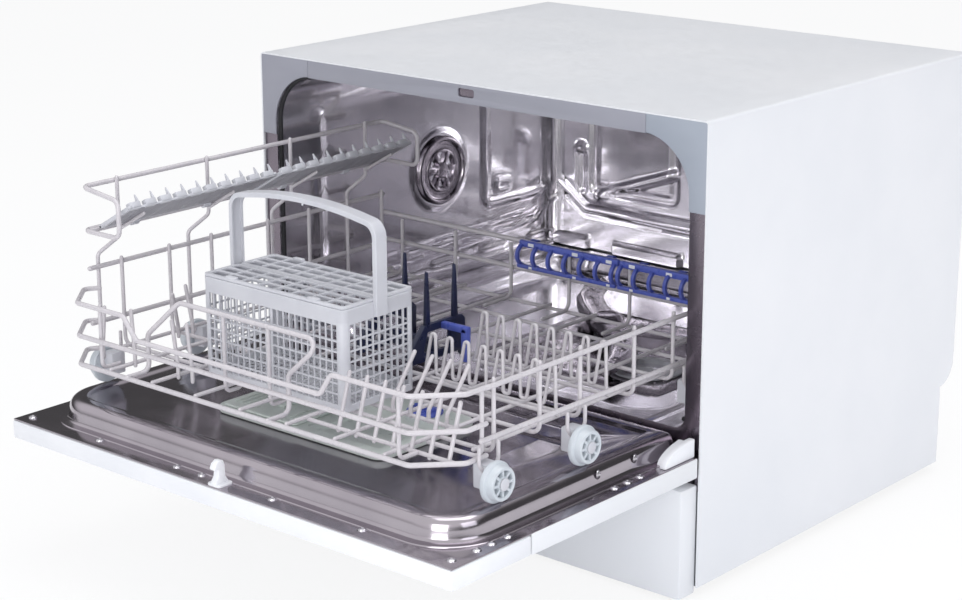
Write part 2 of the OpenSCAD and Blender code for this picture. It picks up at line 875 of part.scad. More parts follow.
module rack_rear() {
  color(wire_grey) front() {
    bar([-rack_half, rack_rear, rear_top_z], [rack_half, rack_rear, rear_top_z], wire_r);
    bar([-rack_half, rack_rear, 226], [rack_half, rack_rear, 226], wire_r);
    for (x = [-rack_half, -200, -125, -50, 25, 100, 175, rack_half]) {
      bar([x, rack_rear, rack_floor_z], [x, rack_rear, rear_top_z], thin_r);
    }
  }
}

module rack_left() {
  x = -rack_half;
  inner = x + shelf_w;
  y0 = corner_y - 6;
  y1 = rack_rear;
  color(wire_grey) front() {
    bar([x, corner_y, left_top_z], [x, y1, left_top_z], wire_r);
    bar([x, corner_y, mid_z], [x, y1, mid_z], wire_r);
    for (y = rack_grid_y) bar([x, y, rack_floor_z], [x, y, left_top_z], thin_r);
    for (y = shelf_post_y) {
      wire([[x - 4, y - joggle, rack_floor_z], [x - 4, y - joggle, left_top_z + 11], [x, y, left_top_z + 26],
        [x, y, shelf_top_z]], thin_r);
      tray_strut(y);
    }
    wire([[x, shelf_post_y[0] + 1, shelf_low_z], [x, y0, shelf_low_z], [inner, y0, shelf_low_z],
      [inner, y0, shelf_top_z - 6], [x, y0, shelf_top_z], [x, y1, shelf_top_z], [inner, y1, shelf_top_z - 6],
      [inner, y1, shelf_low_z], [x, y1, shelf_low_z], [x, shelf_post_y[3] - 1, shelf_low_z]], wire_r);
    bar([tray_x, y0, shelf_low_z], [tray_x, y1, shelf_low_z], tray_rod_r);
  }
}

// A short prop that a cup tray leans on.
module tray_strut(y) {
  gap = tray_t / 2 + strut_r + touch;
  function at(s) = [
    tray_x + s * cos(tray_tilt) + gap * sin(tray_tilt), y,
    shelf_low_z + s * sin(tray_tilt) - gap * cos(tray_tilt)
  ];
  start = (-rack_half - tray_x - gap * sin(tray_tilt)) / cos(tray_tilt);
  bar(at(start), at(tray_w * 0.7), strut_r);
}

module at_wheel(side, i) {
  mirror([side < 0 ? 1 : 0, 0, 0]) translate([0, wheel_y[i], wheel_z]) children();
}

module wheel_clips() {
  color(plastic_grey) front() for (s = [-1, 1], i = [0 : 2]) at_wheel(s, i) {
    block([rack_half - 6, -clip_w / 2, -7],
      [wheel_x - 1, clip_w / 2, rack_floor_z - wheel_z - wire_r - 0.2]);
    translate([wheel_x - 2, 0, 0]) rotate([0, 90, 0]) cylinder(h = wheel_t + 2.4, r = axle_r);
    translate([wheel_x + wheel_t + 0.3, 0, 0]) rotate([0, 90, 0]) cylinder(h = 1, r = axle_r + 1.5);
  }
}

// A wheel with a wide inner flange, a stepped rim and eight spokes.
module wheel(side, i) {
  color(wheel_grey) front() at_wheel(side, i) translate([wheel_x, 0, 0]) rotate([0, 90, 0]) difference() {
    union() {
      difference() {
        union() {
          cylinder(h = wheel_t * 0.5, r = wheel_r);
          cylinder(h = wheel_t, r = wheel_r - 4);
        }
        translate([0, 0, 4]) cylinder(h = wheel_t, r = wheel_r - 6.5);
      }
      cylinder(h = wheel_t, r = axle_r + 3);
      for (a = [0 : 45 : 315]) rotate(a) translate([axle_r + 2, -1, 3]) {
        cube([wheel_r - axle_r - 8, 2, wheel_t - 3]);
      }
    }
    translate([0, 0, -1]) cylinder(h = wheel_t + 2, r = axle_r + running);
  }
}

module wheel_left_front() {
  wheel(-1, 0);
}

module wheel_left_middle() {
  wheel(-1, 1);
}

module wheel_left_rear() {
  wheel(-1, 2);
}

module wheel_right_front() {
  wheel(1, 0);
}

module wheel_right_middle() {
  wheel(1, 1);
}

module wheel_right_rear() {
  wheel(1, 2);
}

tine_z = rack_floor_z + 2 * thin_r + touch;
tine_r = 1.8;
tine_end = rack_half - 9;
tine_x = [for (i = [0 : 7]) tine_end - 146 + i * 19.5];
tine_foot = 6;
tine_tip = 2.2;

module tine_row(y, lean, height) {
  color(wire_grey) front() {
    bar([tine_end - 156, y, tine_z], [tine_end, y, tine_z], thin_r);
    for (x = tine_x) {
      wire([[x - tine_foot, y, tine_z], [x - tine_tip, y + lean, tine_z + height],
        [x + tine_tip, y + lean, tine_z + height], [x + tine_foot, y, tine_z]], tine_r);
    }
  }
}

module tine_row_front() {
  tine_row(-136, 5, 42);
}

module tine_row_rear() {
  tine_row(-66, 5, 46);
}

// A slatted cup tray whose two rings turn on the shelf's rod.
module cup_tray(i) {
  slats = 9;
  pitch = tray_len / (slats + 1);
  h = tray_t / 2;
  ring = tray_rod_r + 1.7;
  at = [tray_x, tray_y[i], shelf_low_z];
  color(plastic_grey) front() translate(at) rotate([0, -tray_tilt, 0]) difference() {
    union() {
      for (y = [0, tray_len - 5]) block([ring, y, -h], [tray_w, y + 5, h]);
      for (y = [40, 130]) translate([0, y, 0]) rotate([-90, 0, 0]) cylinder(h = 8, r = ring);
      for (y = [40, 130]) block([2, y, -h], [ring + 3, y + 8, h]);
      block([ring, 0, -h], [ring + 4, tray_len, h]);
      block([tray_w - 4, 0, -h], [tray_w, tray_len, h + 2]);
      for (k = [1 : slats]) block([ring, k * pitch - 1.5, -h], [tray_w - 3, k * pitch + 1.5, h]);
      for (k = [1 : slats]) block([tray_w - 3, k * pitch, h], [tray_w - 1, k * pitch + 2, h + 8]);
    }
    translate([0, -1, 0]) rotate([-90, 0, 0]) cylinder(h = tray_len + 2, r = tray_rod_r + running);
  }
}

module cup_tray_front() {
  cup_tray(0);
}

module cup_tray_rear() {
  cup_tray(1);
}

// A folding rest of curved ribs, whose rings turn on the rear rail.
module plate_rail(x0, x1, rings) {
  y = rack_rear - wire_r - 3.2;
  z = rear_top_z;
  count = round((x1 - x0) / 22);
  color(blue) front() difference() {
    union() {
      bar([x0, y, z], [x1, y, z], 2.5);
      bar([x0, y - 4, z - 22], [x1, y - 4, z - 22], 2.2);
      for (i = [0 : count]) {
        x = x0 + 2 + i * (x1 - x0 - 4) / count;
        block([x - 1.2, y - 9, z - 23], [x + 1.2, y, z]);
      }
      for (x = rings) translate([x, rack_rear, z]) rotate([0, 90, 0]) cylinder(h = 8, r = wire_r + 1.8);
      for (x = rings) block([x, y, z - 1.5], [x + 8, rack_rear - wire_r, z + 1.5]);
    }
    bar([x0 - 1, rack_rear, z], [x1 + 1, rack_rear, z], wire_r + running);
  }
}

module plate_rail_left() {
  plate_rail(-36, 88, [-26, 70]);
}

module plate_rail_right() {
  plate_rail(90, 190, [110, 156]);
}

// Two combs on a folding frame whose rings turn on a floor wire.
module glass_support() {
  axis_y = rack_grid_y[3];
  comb_y = rack_grid_y[2] - 3;
  z = rack_floor_z + wire_r + touch;
  comb_t = 6;
  comb_x = [rack_half - 265, rack_half - 203];
  arm_end = comb_x[1] + 36;
  color(navy) front() difference() {
    union() {
      for (x = comb_x) {
        block([x, comb_y, z], [x + comb_t, axis_y, z + 34]);
        for (y = [-94, -56]) block([x + 1, y, z + 30], [x + comb_t - 1, y + 7, z + 84]);
        translate([x, axis_y, rack_floor_z]) rotate([0, 90, 0]) cylinder(h = comb_t, r = wire_r + 2);
        block([x, axis_y - 4, rack_floor_z + 2], [x + comb_t, axis_y, z + 10]);
      }
      block([comb_x[0], -84, z + 4], [comb_x[1] + comb_t, -78, z + 18]);
      block([comb_x[1], -74, z + 27], [arm_end, -68, z + 33]);
      block([arm_end - 6, -74, z], [arm_end, -68, z + 33]);
    }
    bar([comb_x[0] - 1, axis_y, rack_floor_z],
      [comb_x[1] + comb_t + 1, axis_y, rack_floor_z], wire_r + running);
  }
}

// ---------- cutlery basket ----------

module basket_box(inset, low, high) {
  block([basket_x + inset, basket_y + inset, low],
    [basket_x + basket_l - inset, basket_y + basket_w - inset, high]);
}

module cutlery_basket() {
  hole = 7;
  pitch = 10;
  n_x = floor((basket_l - 24) / pitch);
  n_y = floor((basket_w - 24) / pitch);
  x1 = basket_x + basket_l;
  y1 = basket_y + basket_w;
  mid = basket_y + basket_w / 2;
  arch = basket_top + handle_h;
  color(plastic_grey) front() {
    difference() {
      basket_box(0, basket_z, basket_top);
      basket_box(basket_wall, basket_z + basket_wall, basket_top + 1);
      for (i = [0 : n_x - 1]) {
        x = basket_x + 12 + i * pitch;
        block([x, basket_y - 1, basket_z + 12], [x + hole, y1 + 1, basket_top - 16]);
      }
      for (i = [0 : n_y - 1]) {
        y = basket_y + 12 + i * pitch;
        block([basket_x - 1, y, basket_z + 12], [x1 + 1, y + hole, basket_top - 16]);
      }
    }
    for (k = [1 : 6]) {
      z = basket_z + 12 + k * pitch;
      block([basket_x, basket_y, z - 2], [x1, basket_y + basket_wall, z]);
      block([basket_x, y1 - basket_wall, z - 2], [x1, y1, z]);
      block([basket_x, basket_y, z - 2], [basket_x + basket_wall, y1, z]);
      block([x1 - basket_wall, basket_y, z - 2], [x1, y1, z]);
    }
    for (x = [basket_x - 3, x1]) block([x, mid - 7, basket_z + 40], [x + 3, mid + 7, arch - 8]);
    block([basket_x - 3, mid - 7, arch - 11], [x1 + 3, mid + 7, arch - 8]);
  }
}

module basket_lid(y0, y1) {
  z = basket_top + touch;
  nx = 12;
  px = (basket_l - 10) / nx;
  ny = 3;
  py = (y1 - y0 - 6) / ny;
  color(plastic_grey) front() difference() {
    block([basket_x + 1, y0, z], [basket_x + basket_l - 1, y1, z + lid_t]);
    for (i = [0 : nx - 1], j = [0 : ny - 1]) {
      x = basket_x + 6 + i * px;
      y = y0 + 4 + j * py;
      block([x, y, z - 1], [x + px - 3, y + py - 2.5, z + lid_t + 1]);
    }
  }
}

module basket_lid_front() {
  basket_lid(basket_y + 1, basket_y + basket_w / 2 - touch);
}

module basket_lid_rear() {
  basket_lid(basket_y + basket_w / 2 + touch, basket_y + basket_w - 1);
}

// ---------- the nodes ----------

outer_wrap();
back_panel();
base_tray();
kick_panel();
feet();
top_fascia();
corner_trim_left();
corner_trim_right();
latch_strike();
tub_gasket();
tub_shell();
wall_vent_cap();
sump();
coarse_filter();
filter_plate();
spray_arm();
wash_pump();
drain_pump();
heater();
inlet_valve();
hoses();
cable_gland();
door_outer_panel();
control_panel();
display_window();
power_button();
program_button();
start_button();
control_board();
door_liner();
latch_hook();
dispenser_body();
dispenser_lid();
rinse_cap();
hinge_arms();
hinge_springs();
hinge_covers();
door_screws();
rack_floor();
rack_front();
rack_left();
rack_right();
rack_rear();
wheel_clips();
wheel_left_front();
wheel_left_middle();
wheel_left_rear();
wheel_right_front();
wheel_right_middle();
wheel_right_rear();
tine_row_front();
tine_row_rear();
cup_tray_front();
cup_tray_rear();
plate_rail_left();
plate_rail_right();
glass_support();
cutlery_basket();
basket_lid_front();
basket_lid_rear();
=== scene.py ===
"""A countertop dishwasher with its door open and its rack drawn out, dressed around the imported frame.

Sizes are millimetres. Y counts from the front edges of the side panels, and z = 0 is the worktop.
"""

import logging
import math
from collections.abc import Callable, Iterable, Sequence
from dataclasses import dataclass, field
from enum import Enum

import bmesh
import bpy
from mathutils import Matrix, Vector


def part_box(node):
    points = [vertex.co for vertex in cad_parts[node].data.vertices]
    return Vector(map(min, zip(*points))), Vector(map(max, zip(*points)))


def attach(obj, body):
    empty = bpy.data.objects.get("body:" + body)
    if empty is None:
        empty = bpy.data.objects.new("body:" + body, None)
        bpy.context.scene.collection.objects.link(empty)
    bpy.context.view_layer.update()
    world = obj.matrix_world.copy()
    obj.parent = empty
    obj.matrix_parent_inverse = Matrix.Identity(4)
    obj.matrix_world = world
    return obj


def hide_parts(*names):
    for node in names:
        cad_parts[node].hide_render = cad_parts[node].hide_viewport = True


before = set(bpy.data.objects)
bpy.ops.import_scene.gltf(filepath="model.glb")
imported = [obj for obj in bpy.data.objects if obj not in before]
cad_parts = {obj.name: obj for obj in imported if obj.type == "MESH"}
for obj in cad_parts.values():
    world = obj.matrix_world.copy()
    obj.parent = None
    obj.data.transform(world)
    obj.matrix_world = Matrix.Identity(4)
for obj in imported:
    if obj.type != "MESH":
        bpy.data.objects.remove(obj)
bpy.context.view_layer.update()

log = logging.getLogger("dishwasher")

MM = 0.001
NOISE_ROUGHNESS = 0.55
FRONT_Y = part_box("outer_wrap")[0][1] / MM

Point = tuple[float, float, float]
Flat = tuple[float, float]
Socket = bpy.types.NodeSocket


class Plane(Enum):
    """The plane that a flat outline lies in, and so the axis that it is raised along."""

    XY = "z"
    XZ = "y"
    YZ = "x"

    def place(self, a: float, b: float, rise: float) -> Point:
        """Turn two outline values and a height into a point."""
        return {"z": (a, b, rise), "y": (a, rise, b), "x": (rise, a, b)}[self.value]


class Body(str, Enum):
    """The bodies that most pieces ride on."""

    CABINET = "cabinet"
    RACK = "rack"


def linked(name: str, data: bpy.types.ID) -> bpy.types.Object:
    """Make an object and put it in the scene.

    Args:
        name: Its name.
        data: Its mesh, curve, lamp or camera.

    Returns:
        The object.
    """
    thing = bpy.data.objects.new(name, data)
    bpy.context.scene.collection.objects.link(thing)
    return thing


def evaluated(thing: bpy.types.Object) -> bpy.types.Mesh:
    """Give an object's mesh as its modifiers leave it."""
    return bpy.data.meshes.new_from_object(thing.evaluated_get(bpy.context.evaluated_depsgraph_get()))


# ---------- finishes ----------


class Tree:
    """A node tree that is built with short calls."""

    def __init__(self, tree: bpy.types.NodeTree) -> None:
        """Hold a tree.

        Args:
            tree: The node tree.
        """
        self.tree = tree

    def add(self, kind: str, links: dict | None = None, **settings: object) -> bpy.types.Node:
        """Add a node.

        Args:
            kind: The node's type name.
            links: What goes into its inputs, as an output socket or a plain value.
            settings: The node's own properties.

        Returns:
            The new node.
        """
        node = self.tree.nodes.new(kind)
        for key, value in settings.items():
            setattr(node, key, value)
        for key, value in (links or {}).items():
            if isinstance(value, Socket):
                self.tree.links.new(value, node.inputs[key])
            else:
                node.inputs[key].default_value = value
        return node


class Nodes(Tree):
    """A material's node tree."""

    def __init__(self, name: str) -> None:
        """Start an empty material.

        Args:
            name: The material's name.
        """
        self.material = bpy.data.materials.new(name)
        self.material.use_nodes = True
        super().__init__(self.material.node_tree)
        self.tree.nodes.clear()
        self.coords = self.add("ShaderNodeTexCoord").outputs["Object"]

    def noise(self, size: float | Point, detail: float = 3.0) -> Socket:
        """Add a noise whose blotches have a real size.

        Args:
            size: The blotch size in millimetres, or one for each axis.
            detail: How many finer layers it holds.

        Returns:
            The noise's value, from 0 to 1.
        """
        sizes = size if isinstance(size, tuple) else (size,) * 3
        scale = tuple(1.0 / (value * MM) for value in sizes)
        placed = self.add("ShaderNodeMapping", {"Vector": self.coords, "Scale": scale})
        links = {"Vector": placed.outputs[0], "Scale": 1.0, "Detail": detail, "Roughness": NOISE_ROUGHNESS}
        return self.add("ShaderNodeTexNoise", links).outputs[0]

    def spread(self, value: Socket, low: float, high: float) -> Socket:
        """Map the middle of a noise onto a range.

        Args:
            value: The noise.
            low: The result where the noise is 0.3.
            high: The result where it is 0.7.

        Returns:
            The mapped value.
        """
        links = {"Value": value, "From Min": 0.3, "From Max": 0.7, "To Min": low, "To Max": high}
        return self.add("ShaderNodeMapRange", links).outputs[0]

    def blend(self, share: Socket, a: Sequence[float], b: Sequence[float]) -> Socket:
        """Mix two colours.

        Args:
            share: How much of the second colour shows.
            a: The first colour.
            b: The second colour.

        Returns:
            The mixed colour.
        """
        mixed = self.add("ShaderNodeMix", {0: share, 6: (*a, 1.0), 7: (*b, 1.0)}, data_type="RGBA")
        return mixed.outputs[2]

    def close(self, shader: Socket) -> bpy.types.Material:
        """Join the shader to the output.

        Args:
            shader: The shader's output.

        Returns:
            The finished material.
        """
        self.add("ShaderNodeOutputMaterial", {"Surface": shader})
        return self.material


def linear(code: str) -> tuple[float, float, float]:
    """Turn a written colour such as "c9c4c6" into the linear values that shaders take.

    Args:
        code: Six hexadecimal digits.

    Returns:
        The linear red, green and blue.
    """
    shares = (int(code[i : i + 2], 16) / 255 for i in (0, 2, 4))
    return tuple(s / 12.92 if s < 0.04045 else ((s + 0.055) / 1.055) ** 2.4 for s in shares)


@dataclass(frozen=True)
class Finish:
    """A surface whose colour, gloss and relief vary a little, as a real one's do."""

    name: str
    light: str
    shade: str
    blotch: float | Point = 60
    gloss: tuple[float, float] = (0.3, 0.42)
    gloss_size: float | Point = 9
    grain: float | Point = 0.8
    grain_depth: float = 0.02
    grain_strength: float = 0.25
    metal: float = 0.0
    coat: float = 0.0
    coat_gloss: float = 0.12

    def make(self) -> bpy.types.Material:
        """Build the finish once, and give the same material after that.

        Returns:
            The material.
        """
        title = f"{self.name}_finish"
        known = bpy.data.materials.get(title)
        if known:
            return known
        kit = Nodes(title)
        colour = kit.blend(kit.spread(kit.noise(self.blotch), 0, 1), linear(self.light), linear(self.shade))
        gloss = kit.spread(kit.noise(self.gloss_size, 4), *self.gloss)
        height = kit.noise(self.grain, 2)
        links = {"Height": height, "Distance": self.grain_depth * MM, "Strength": self.grain_strength}
        relief = kit.add("ShaderNodeBump", links)
        links = {
            "Base Color": colour, "Roughness": gloss, "Metallic": self.metal, "Normal": relief.outputs[0],
            "Coat Weight": self.coat, "Coat Roughness": self.coat_gloss,
        }
        return kit.close(kit.add("ShaderNodeBsdfPrincipled", links).outputs[0])


WHITE_PAINT = Finish(
    "white_paint", "e3e4e7", "dcdee2", blotch=180, gloss=(0.34, 0.44), grain=1.6,
    grain_depth=0.03, coat=0.15,
)
WHITE_PLASTIC = Finish("white_plastic", "e8e9ed", "e0e2e7", gloss=(0.3, 0.4), coat=0.2)
FASCIA_GREY = Finish("fascia_grey", "9899a3", "90919c", blotch=(120, 120, 40), gloss=(0.36, 0.46))
# Painted light: a lighter, bluer copy of the fascia grey, used only on the right corner trim.
RIGHT_TRIM_LIT_GREY = Finish("right_trim_lit_grey", "9ea5b0", "979eaa", blotch=(120, 120, 40), gloss=(0.34, 0.44))
STAINLESS = Finish(
    "stainless", "b2acb3", "a59fa7", blotch=90, gloss=(0.11, 0.19), gloss_size=30,
    grain=(60, 2.2, 60), grain_depth=0.012, grain_strength=0.2, metal=1.0,
)
# Painted light: the chamber is the same stainless as STAINLESS, given a near-white base colour so that its inside
# reads brighter.
TUB_STEEL_LIT = Finish(
    "tub_stainless_lit", "f0eef2", "e6e4ea", blotch=120, gloss=(0.12, 0.2), gloss_size=24,
    grain=(50, 50, 2.4), grain_depth=0.012, grain_strength=0.2, metal=1.0,
)
# Painted shade: the frame round the opening is the same stainless, given a darker base colour so that it reads darker.
FLANGE_STEEL_SHADED = Finish(
    "flange_stainless_shaded", "8a828b", "7b737d", blotch=80, gloss=(0.22, 0.32), gloss_size=20,
    grain=(60, 1.6, 60), grain_depth=0.012, metal=1.0,
)
ZINC = Finish("zinc_steel", "a6a8ab", "8f9295", blotch=14, gloss=(0.3, 0.5), gloss_size=4, metal=0.9)
SCREW_STEEL = Finish("screw_steel", "c9c7cc", "b5b3ba", blotch=3, gloss=(0.16, 0.26), metal=1.0)
WIRE_COAT = Finish("wire_coat", "cbc7cb", "c2bec3", blotch=22, gloss=(0.24, 0.36), gloss_size=5, grain=1.2, coat=0.25)
LIGHT_PLASTIC = Finish("light_plastic", "c9cad0", "c0c1c8", blotch=35, gloss=(0.3, 0.42), coat=0.1)
# Painted shade: the cup trays' slats are the same pale plastic as their edges, given a darker copy for the shade among
# the slats.
TRAY_PLASTIC_SHADED = Finish("tray_plastic_shaded", "a5a4aa", "98979e", blotch=35, gloss=(0.34, 0.46))
WHEEL_PLASTIC = Finish("wheel_plastic", "c6ccd2", "bcc3ca", blotch=18, gloss=(0.28, 0.4), coat=0.1)
BLUE_PLASTIC = Finish("blue_plastic", "5563b8", "4b59ac", blotch=24, gloss=(0.24, 0.36), coat=0.2)
NAVY_PLASTIC = Finish("navy_plastic", "1c2344", "171d3a", blotch=20, gloss=(0.26, 0.38), coat=0.2)
DISPENSER = Finish("dispenser_plastic", "c6cdc9", "bcc4c0", blotch=40, gloss=(0.26, 0.38), coat=0.2)
DARK_PLASTIC = Finish("dark_plastic", "2b2b30", "242429", blotch=30, gloss=(0.4, 0.55))
RUBBER = Finish("black_rubber", "1d1d20", "27272b", blotch=12, gloss=(0.6, 0.75), grain=0.5)
SMOKE = Finish("smoke_window", "15161b", "1b1d24", gloss=(0.05, 0.1), coat=0.6, grain_depth=0.004)
BOARD = Finish("board_green", "1f5c3a", "184a2f", blotch=6, gloss=(0.35, 0.5))


# ---------- outlines ----------


def arc(centre: Flat, radius: float, start: float, end: float, steps: int = 8) -> list[Flat]:
    """Give points along an arc.

    Args:
        centre: Its centre.
        radius: Its radius.
        start: Its first angle in degrees.
        end: Its last angle in degrees.
        steps: How many pieces it has.

    Returns:
        The points, both ends among them.
    """
    angles = (math.radians(start + (end - start) * i / steps) for i in range(steps + 1))
    return [(centre[0] + radius * math.cos(a), centre[1] + radius * math.sin(a)) for a in angles]


def soft_rectangle(x0: float, x1: float, y0: float, y1: float, radii: Sequence[float], steps: int = 8) -> list[Flat]:
    """Give a rectangle with round corners, anticlockwise from the upper right.

    Args:
        x0: Its left side.
        x1: Its right side.
        y0: Its lower side.
        y1: Its upper side.
        radii: The radii of the upper right, upper left, lower left and lower right corners.
        steps: How many pieces each corner has.

    Returns:
        The outline.
    """
    corners = ((x1, y1, -1, -1), (x0, y1, 1, -1), (x0, y0, 1, 1), (x1, y0, -1, 1))
    points: list[Flat] = []
    for i, (x, y, sx, sy) in enumerate(corners):
        r = max(radii[i], 0.01)
        points += arc((x + sx * r, y + sy * r), r, 90 * i, 90 * i + 90, steps)
    return points


def eased(value: float) -> float:
    """Ease a value from 0 to 1, flat at both ends."""
    value = min(max(value, 0.0), 1.0)
    return value * value * (3 - 2 * value)


def box_distance(a: float, b: float, box: Sequence[float], radius: float) -> float:
    """Give the distance from a point to a rectangle with round corners, negative inside it.

    Args:
        a: The point's first value.
        b: The point's second value.
        box: The rectangle's lowest and highest first value, then second value.
        radius: The corners' radius.

    Returns:
        The signed distance.
    """
    da = abs(a - (box[0] + box[1]) / 2) - (box[1] - box[0]) / 2 + radius
    db = abs(b - (box[2] + box[3]) / 2) - (box[3] - box[2]) / 2 + radius
    return math.hypot(max(da, 0), max(db, 0)) + min(max(da, db), 0) - radius


def segment_distance(a: float, b: float, start: Flat, end: Flat) -> float:
    """Give the distance from a point to a straight line between two ends.

    Args:
        a: The point's first value.
        b: The point's second value.
        start: The line's start.
        end: Its end.

    Returns:
        The distance.
    """
    da, db = end[0] - start[0], end[1] - start[1]
    t = min(max(((a - start[0]) * da + (b - start[1]) * db) / (da * da + db * db), 0), 1)
    return math.hypot(a - start[0] - t * da, b - start[1] - t * db)


# ---------- repeats and wires, made by Geometry Nodes ----------


class GeometryTree(Tree):
    """A Geometry Nodes tree that is run once on an object and leaves a plain mesh."""

    def __init__(self, name: str, inputs: dict[str, str]) -> None:
        """Start the tree.

        Args:
            name: The tree's name.
            inputs: The names of its inputs, each with its socket type.
        """
        super().__init__(bpy.data.node_groups.new(name, "GeometryNodeTree"))
        self.tree.interface.new_socket("Geometry", in_out="INPUT", socket_type="NodeSocketGeometry")
        self.keys: dict[str, str] = {}
        for label, kind in inputs.items():
            self.keys[label] = self.tree.interface.new_socket(label, in_out="INPUT", socket_type=kind).identifier
        self.tree.interface.new_socket("Geometry", in_out="OUTPUT", socket_type="NodeSocketGeometry")
        self.start = self.tree.nodes.new("NodeGroupInput")
        self.end = self.tree.nodes.new("NodeGroupOutput")

    def named(self, name: str, kind: str) -> Socket:
        """Read an attribute of the points."""
        return self.add("GeometryNodeInputNamedAttribute", {"Name": name}, data_type=kind).outputs[0]

    def finish(self, geometry: Socket) -> None:
        """Realize what was made, give it its material and close the tree.

        Args:
            geometry: What was made.
        """
        real = self.add("GeometryNodeRealizeInstances", {"Geometry": geometry})
        links = {"Geometry": real.outputs[0], "Material": self.start.outputs["Material"]}
        painted = self.add("GeometryNodeSetMaterial", links)
        self.tree.links.new(painted.outputs[0], self.end.inputs[0])

    def run(self, points: bpy.types.Mesh, values: dict[str, object]) -> bpy.types.Mesh:
        """Run the tree.

        Args:
            points: The mesh that it starts from.
            values: A value for each named input.

        Returns:
            The plain mesh.
        """
        carrier = linked("carrier", points)
        modifier = carrier.modifiers.new("tree", "NODES")
        modifier.node_group = self.tree
        for label, value in values.items():
            modifier[self.keys[label]] = value
        mesh = evaluated(carrier)
        carrier.modifiers.clear()
        bpy.data.objects.remove(carrier)
        bpy.data.meshes.remove(points)
        return mesh


def wire_tree() -> GeometryTree:
    """Build the tree that turns chains of edges into bent round wires with domed ends.

    Returns:
        The tree.
    """
    tree = GeometryTree(
        "wires", {"Sides": "NodeSocketInt", "Bend Steps": "NodeSocketInt", "Material": "NodeSocketMaterial"}
    )
    curve = tree.add("GeometryNodeMeshToCurve", {"Mesh": tree.start.outputs["Geometry"]}).outputs[0]
    bend, thickness = tree.named("bend", "FLOAT"), tree.named("thickness", "FLOAT")
    links = {"Curve": curve, "Count": tree.start.outputs["Bend Steps"], "Radius": bend, "Limit Radius": True}
    bent = tree.add("GeometryNodeFilletCurve", links, mode="POLY").outputs[0]
    links = {"Resolution": tree.start.outputs["Sides"], "Radius": 1.0}
    ring = tree.add("GeometryNodeCurvePrimitiveCircle", links).outputs[0]
    links = {"Curve": bent, "Profile Curve": ring, "Scale": thickness, "Fill Caps": True}
    tube = tree.add("GeometryNodeCurveToMesh", links)
    ends = tree.add("GeometryNodeCurveEndpointSelection", {"Start Size": 1, "End Size": 1}).outputs[0]
    dome = tree.add("GeometryNodeMeshUVSphere", {"Segments": 10, "Rings": 6, "Radius": 0.99}).outputs[0]
    links = {"Points": bent, "Selection": ends, "Instance": dome, "Scale": thickness}
    domes = tree.add("GeometryNodeInstanceOnPoints", links)
    both = tree.add("GeometryNodeJoinGeometry")
    tree.tree.links.new(tube.outputs[0], both.inputs[0])
    tree.tree.links.new(domes.outputs[0], both.inputs[0])
    tree.finish(both.outputs[0])
    return tree


def row_tree() -> GeometryTree:
    """Build the tree that puts a copy of one shape at each point, turned as the point says.

    Returns:
        The tree.
    """
    tree = GeometryTree("rows", {"Shape": "NodeSocketObject", "Material": "NodeSocketMaterial"})
    shape = tree.add("GeometryNodeObjectInfo", {"Object": tree.start.outputs["Shape"]})
    turn = tree.add("FunctionNodeEulerToRotation", {"Euler": tree.named("turn", "FLOAT_VECTOR")})
    links = {
        "Points": tree.start.outputs["Geometry"], "Instance": shape.outputs["Geometry"], "Rotation": turn.outputs[0],
        "Scale": tree.named("stretch", "FLOAT_VECTOR"),
    }
    tree.finish(tree.add("GeometryNodeInstanceOnPoints", links).outputs[0])
    return tree


WIRES = wire_tree()
ROWS = row_tree()


@dataclass(frozen=True)
class Wire:
    """A wire through the points of a path."""

    path: Sequence[Point]
    radius: float
    bend: float = 9.0


@dataclass(frozen=True)
class Place:
    """Where a repeated shape stands, how it is turned in degrees, and how it is stretched."""

    at: Point
    turn: Point = (0, 0, 0)
    stretch: Point = (1, 1, 1)


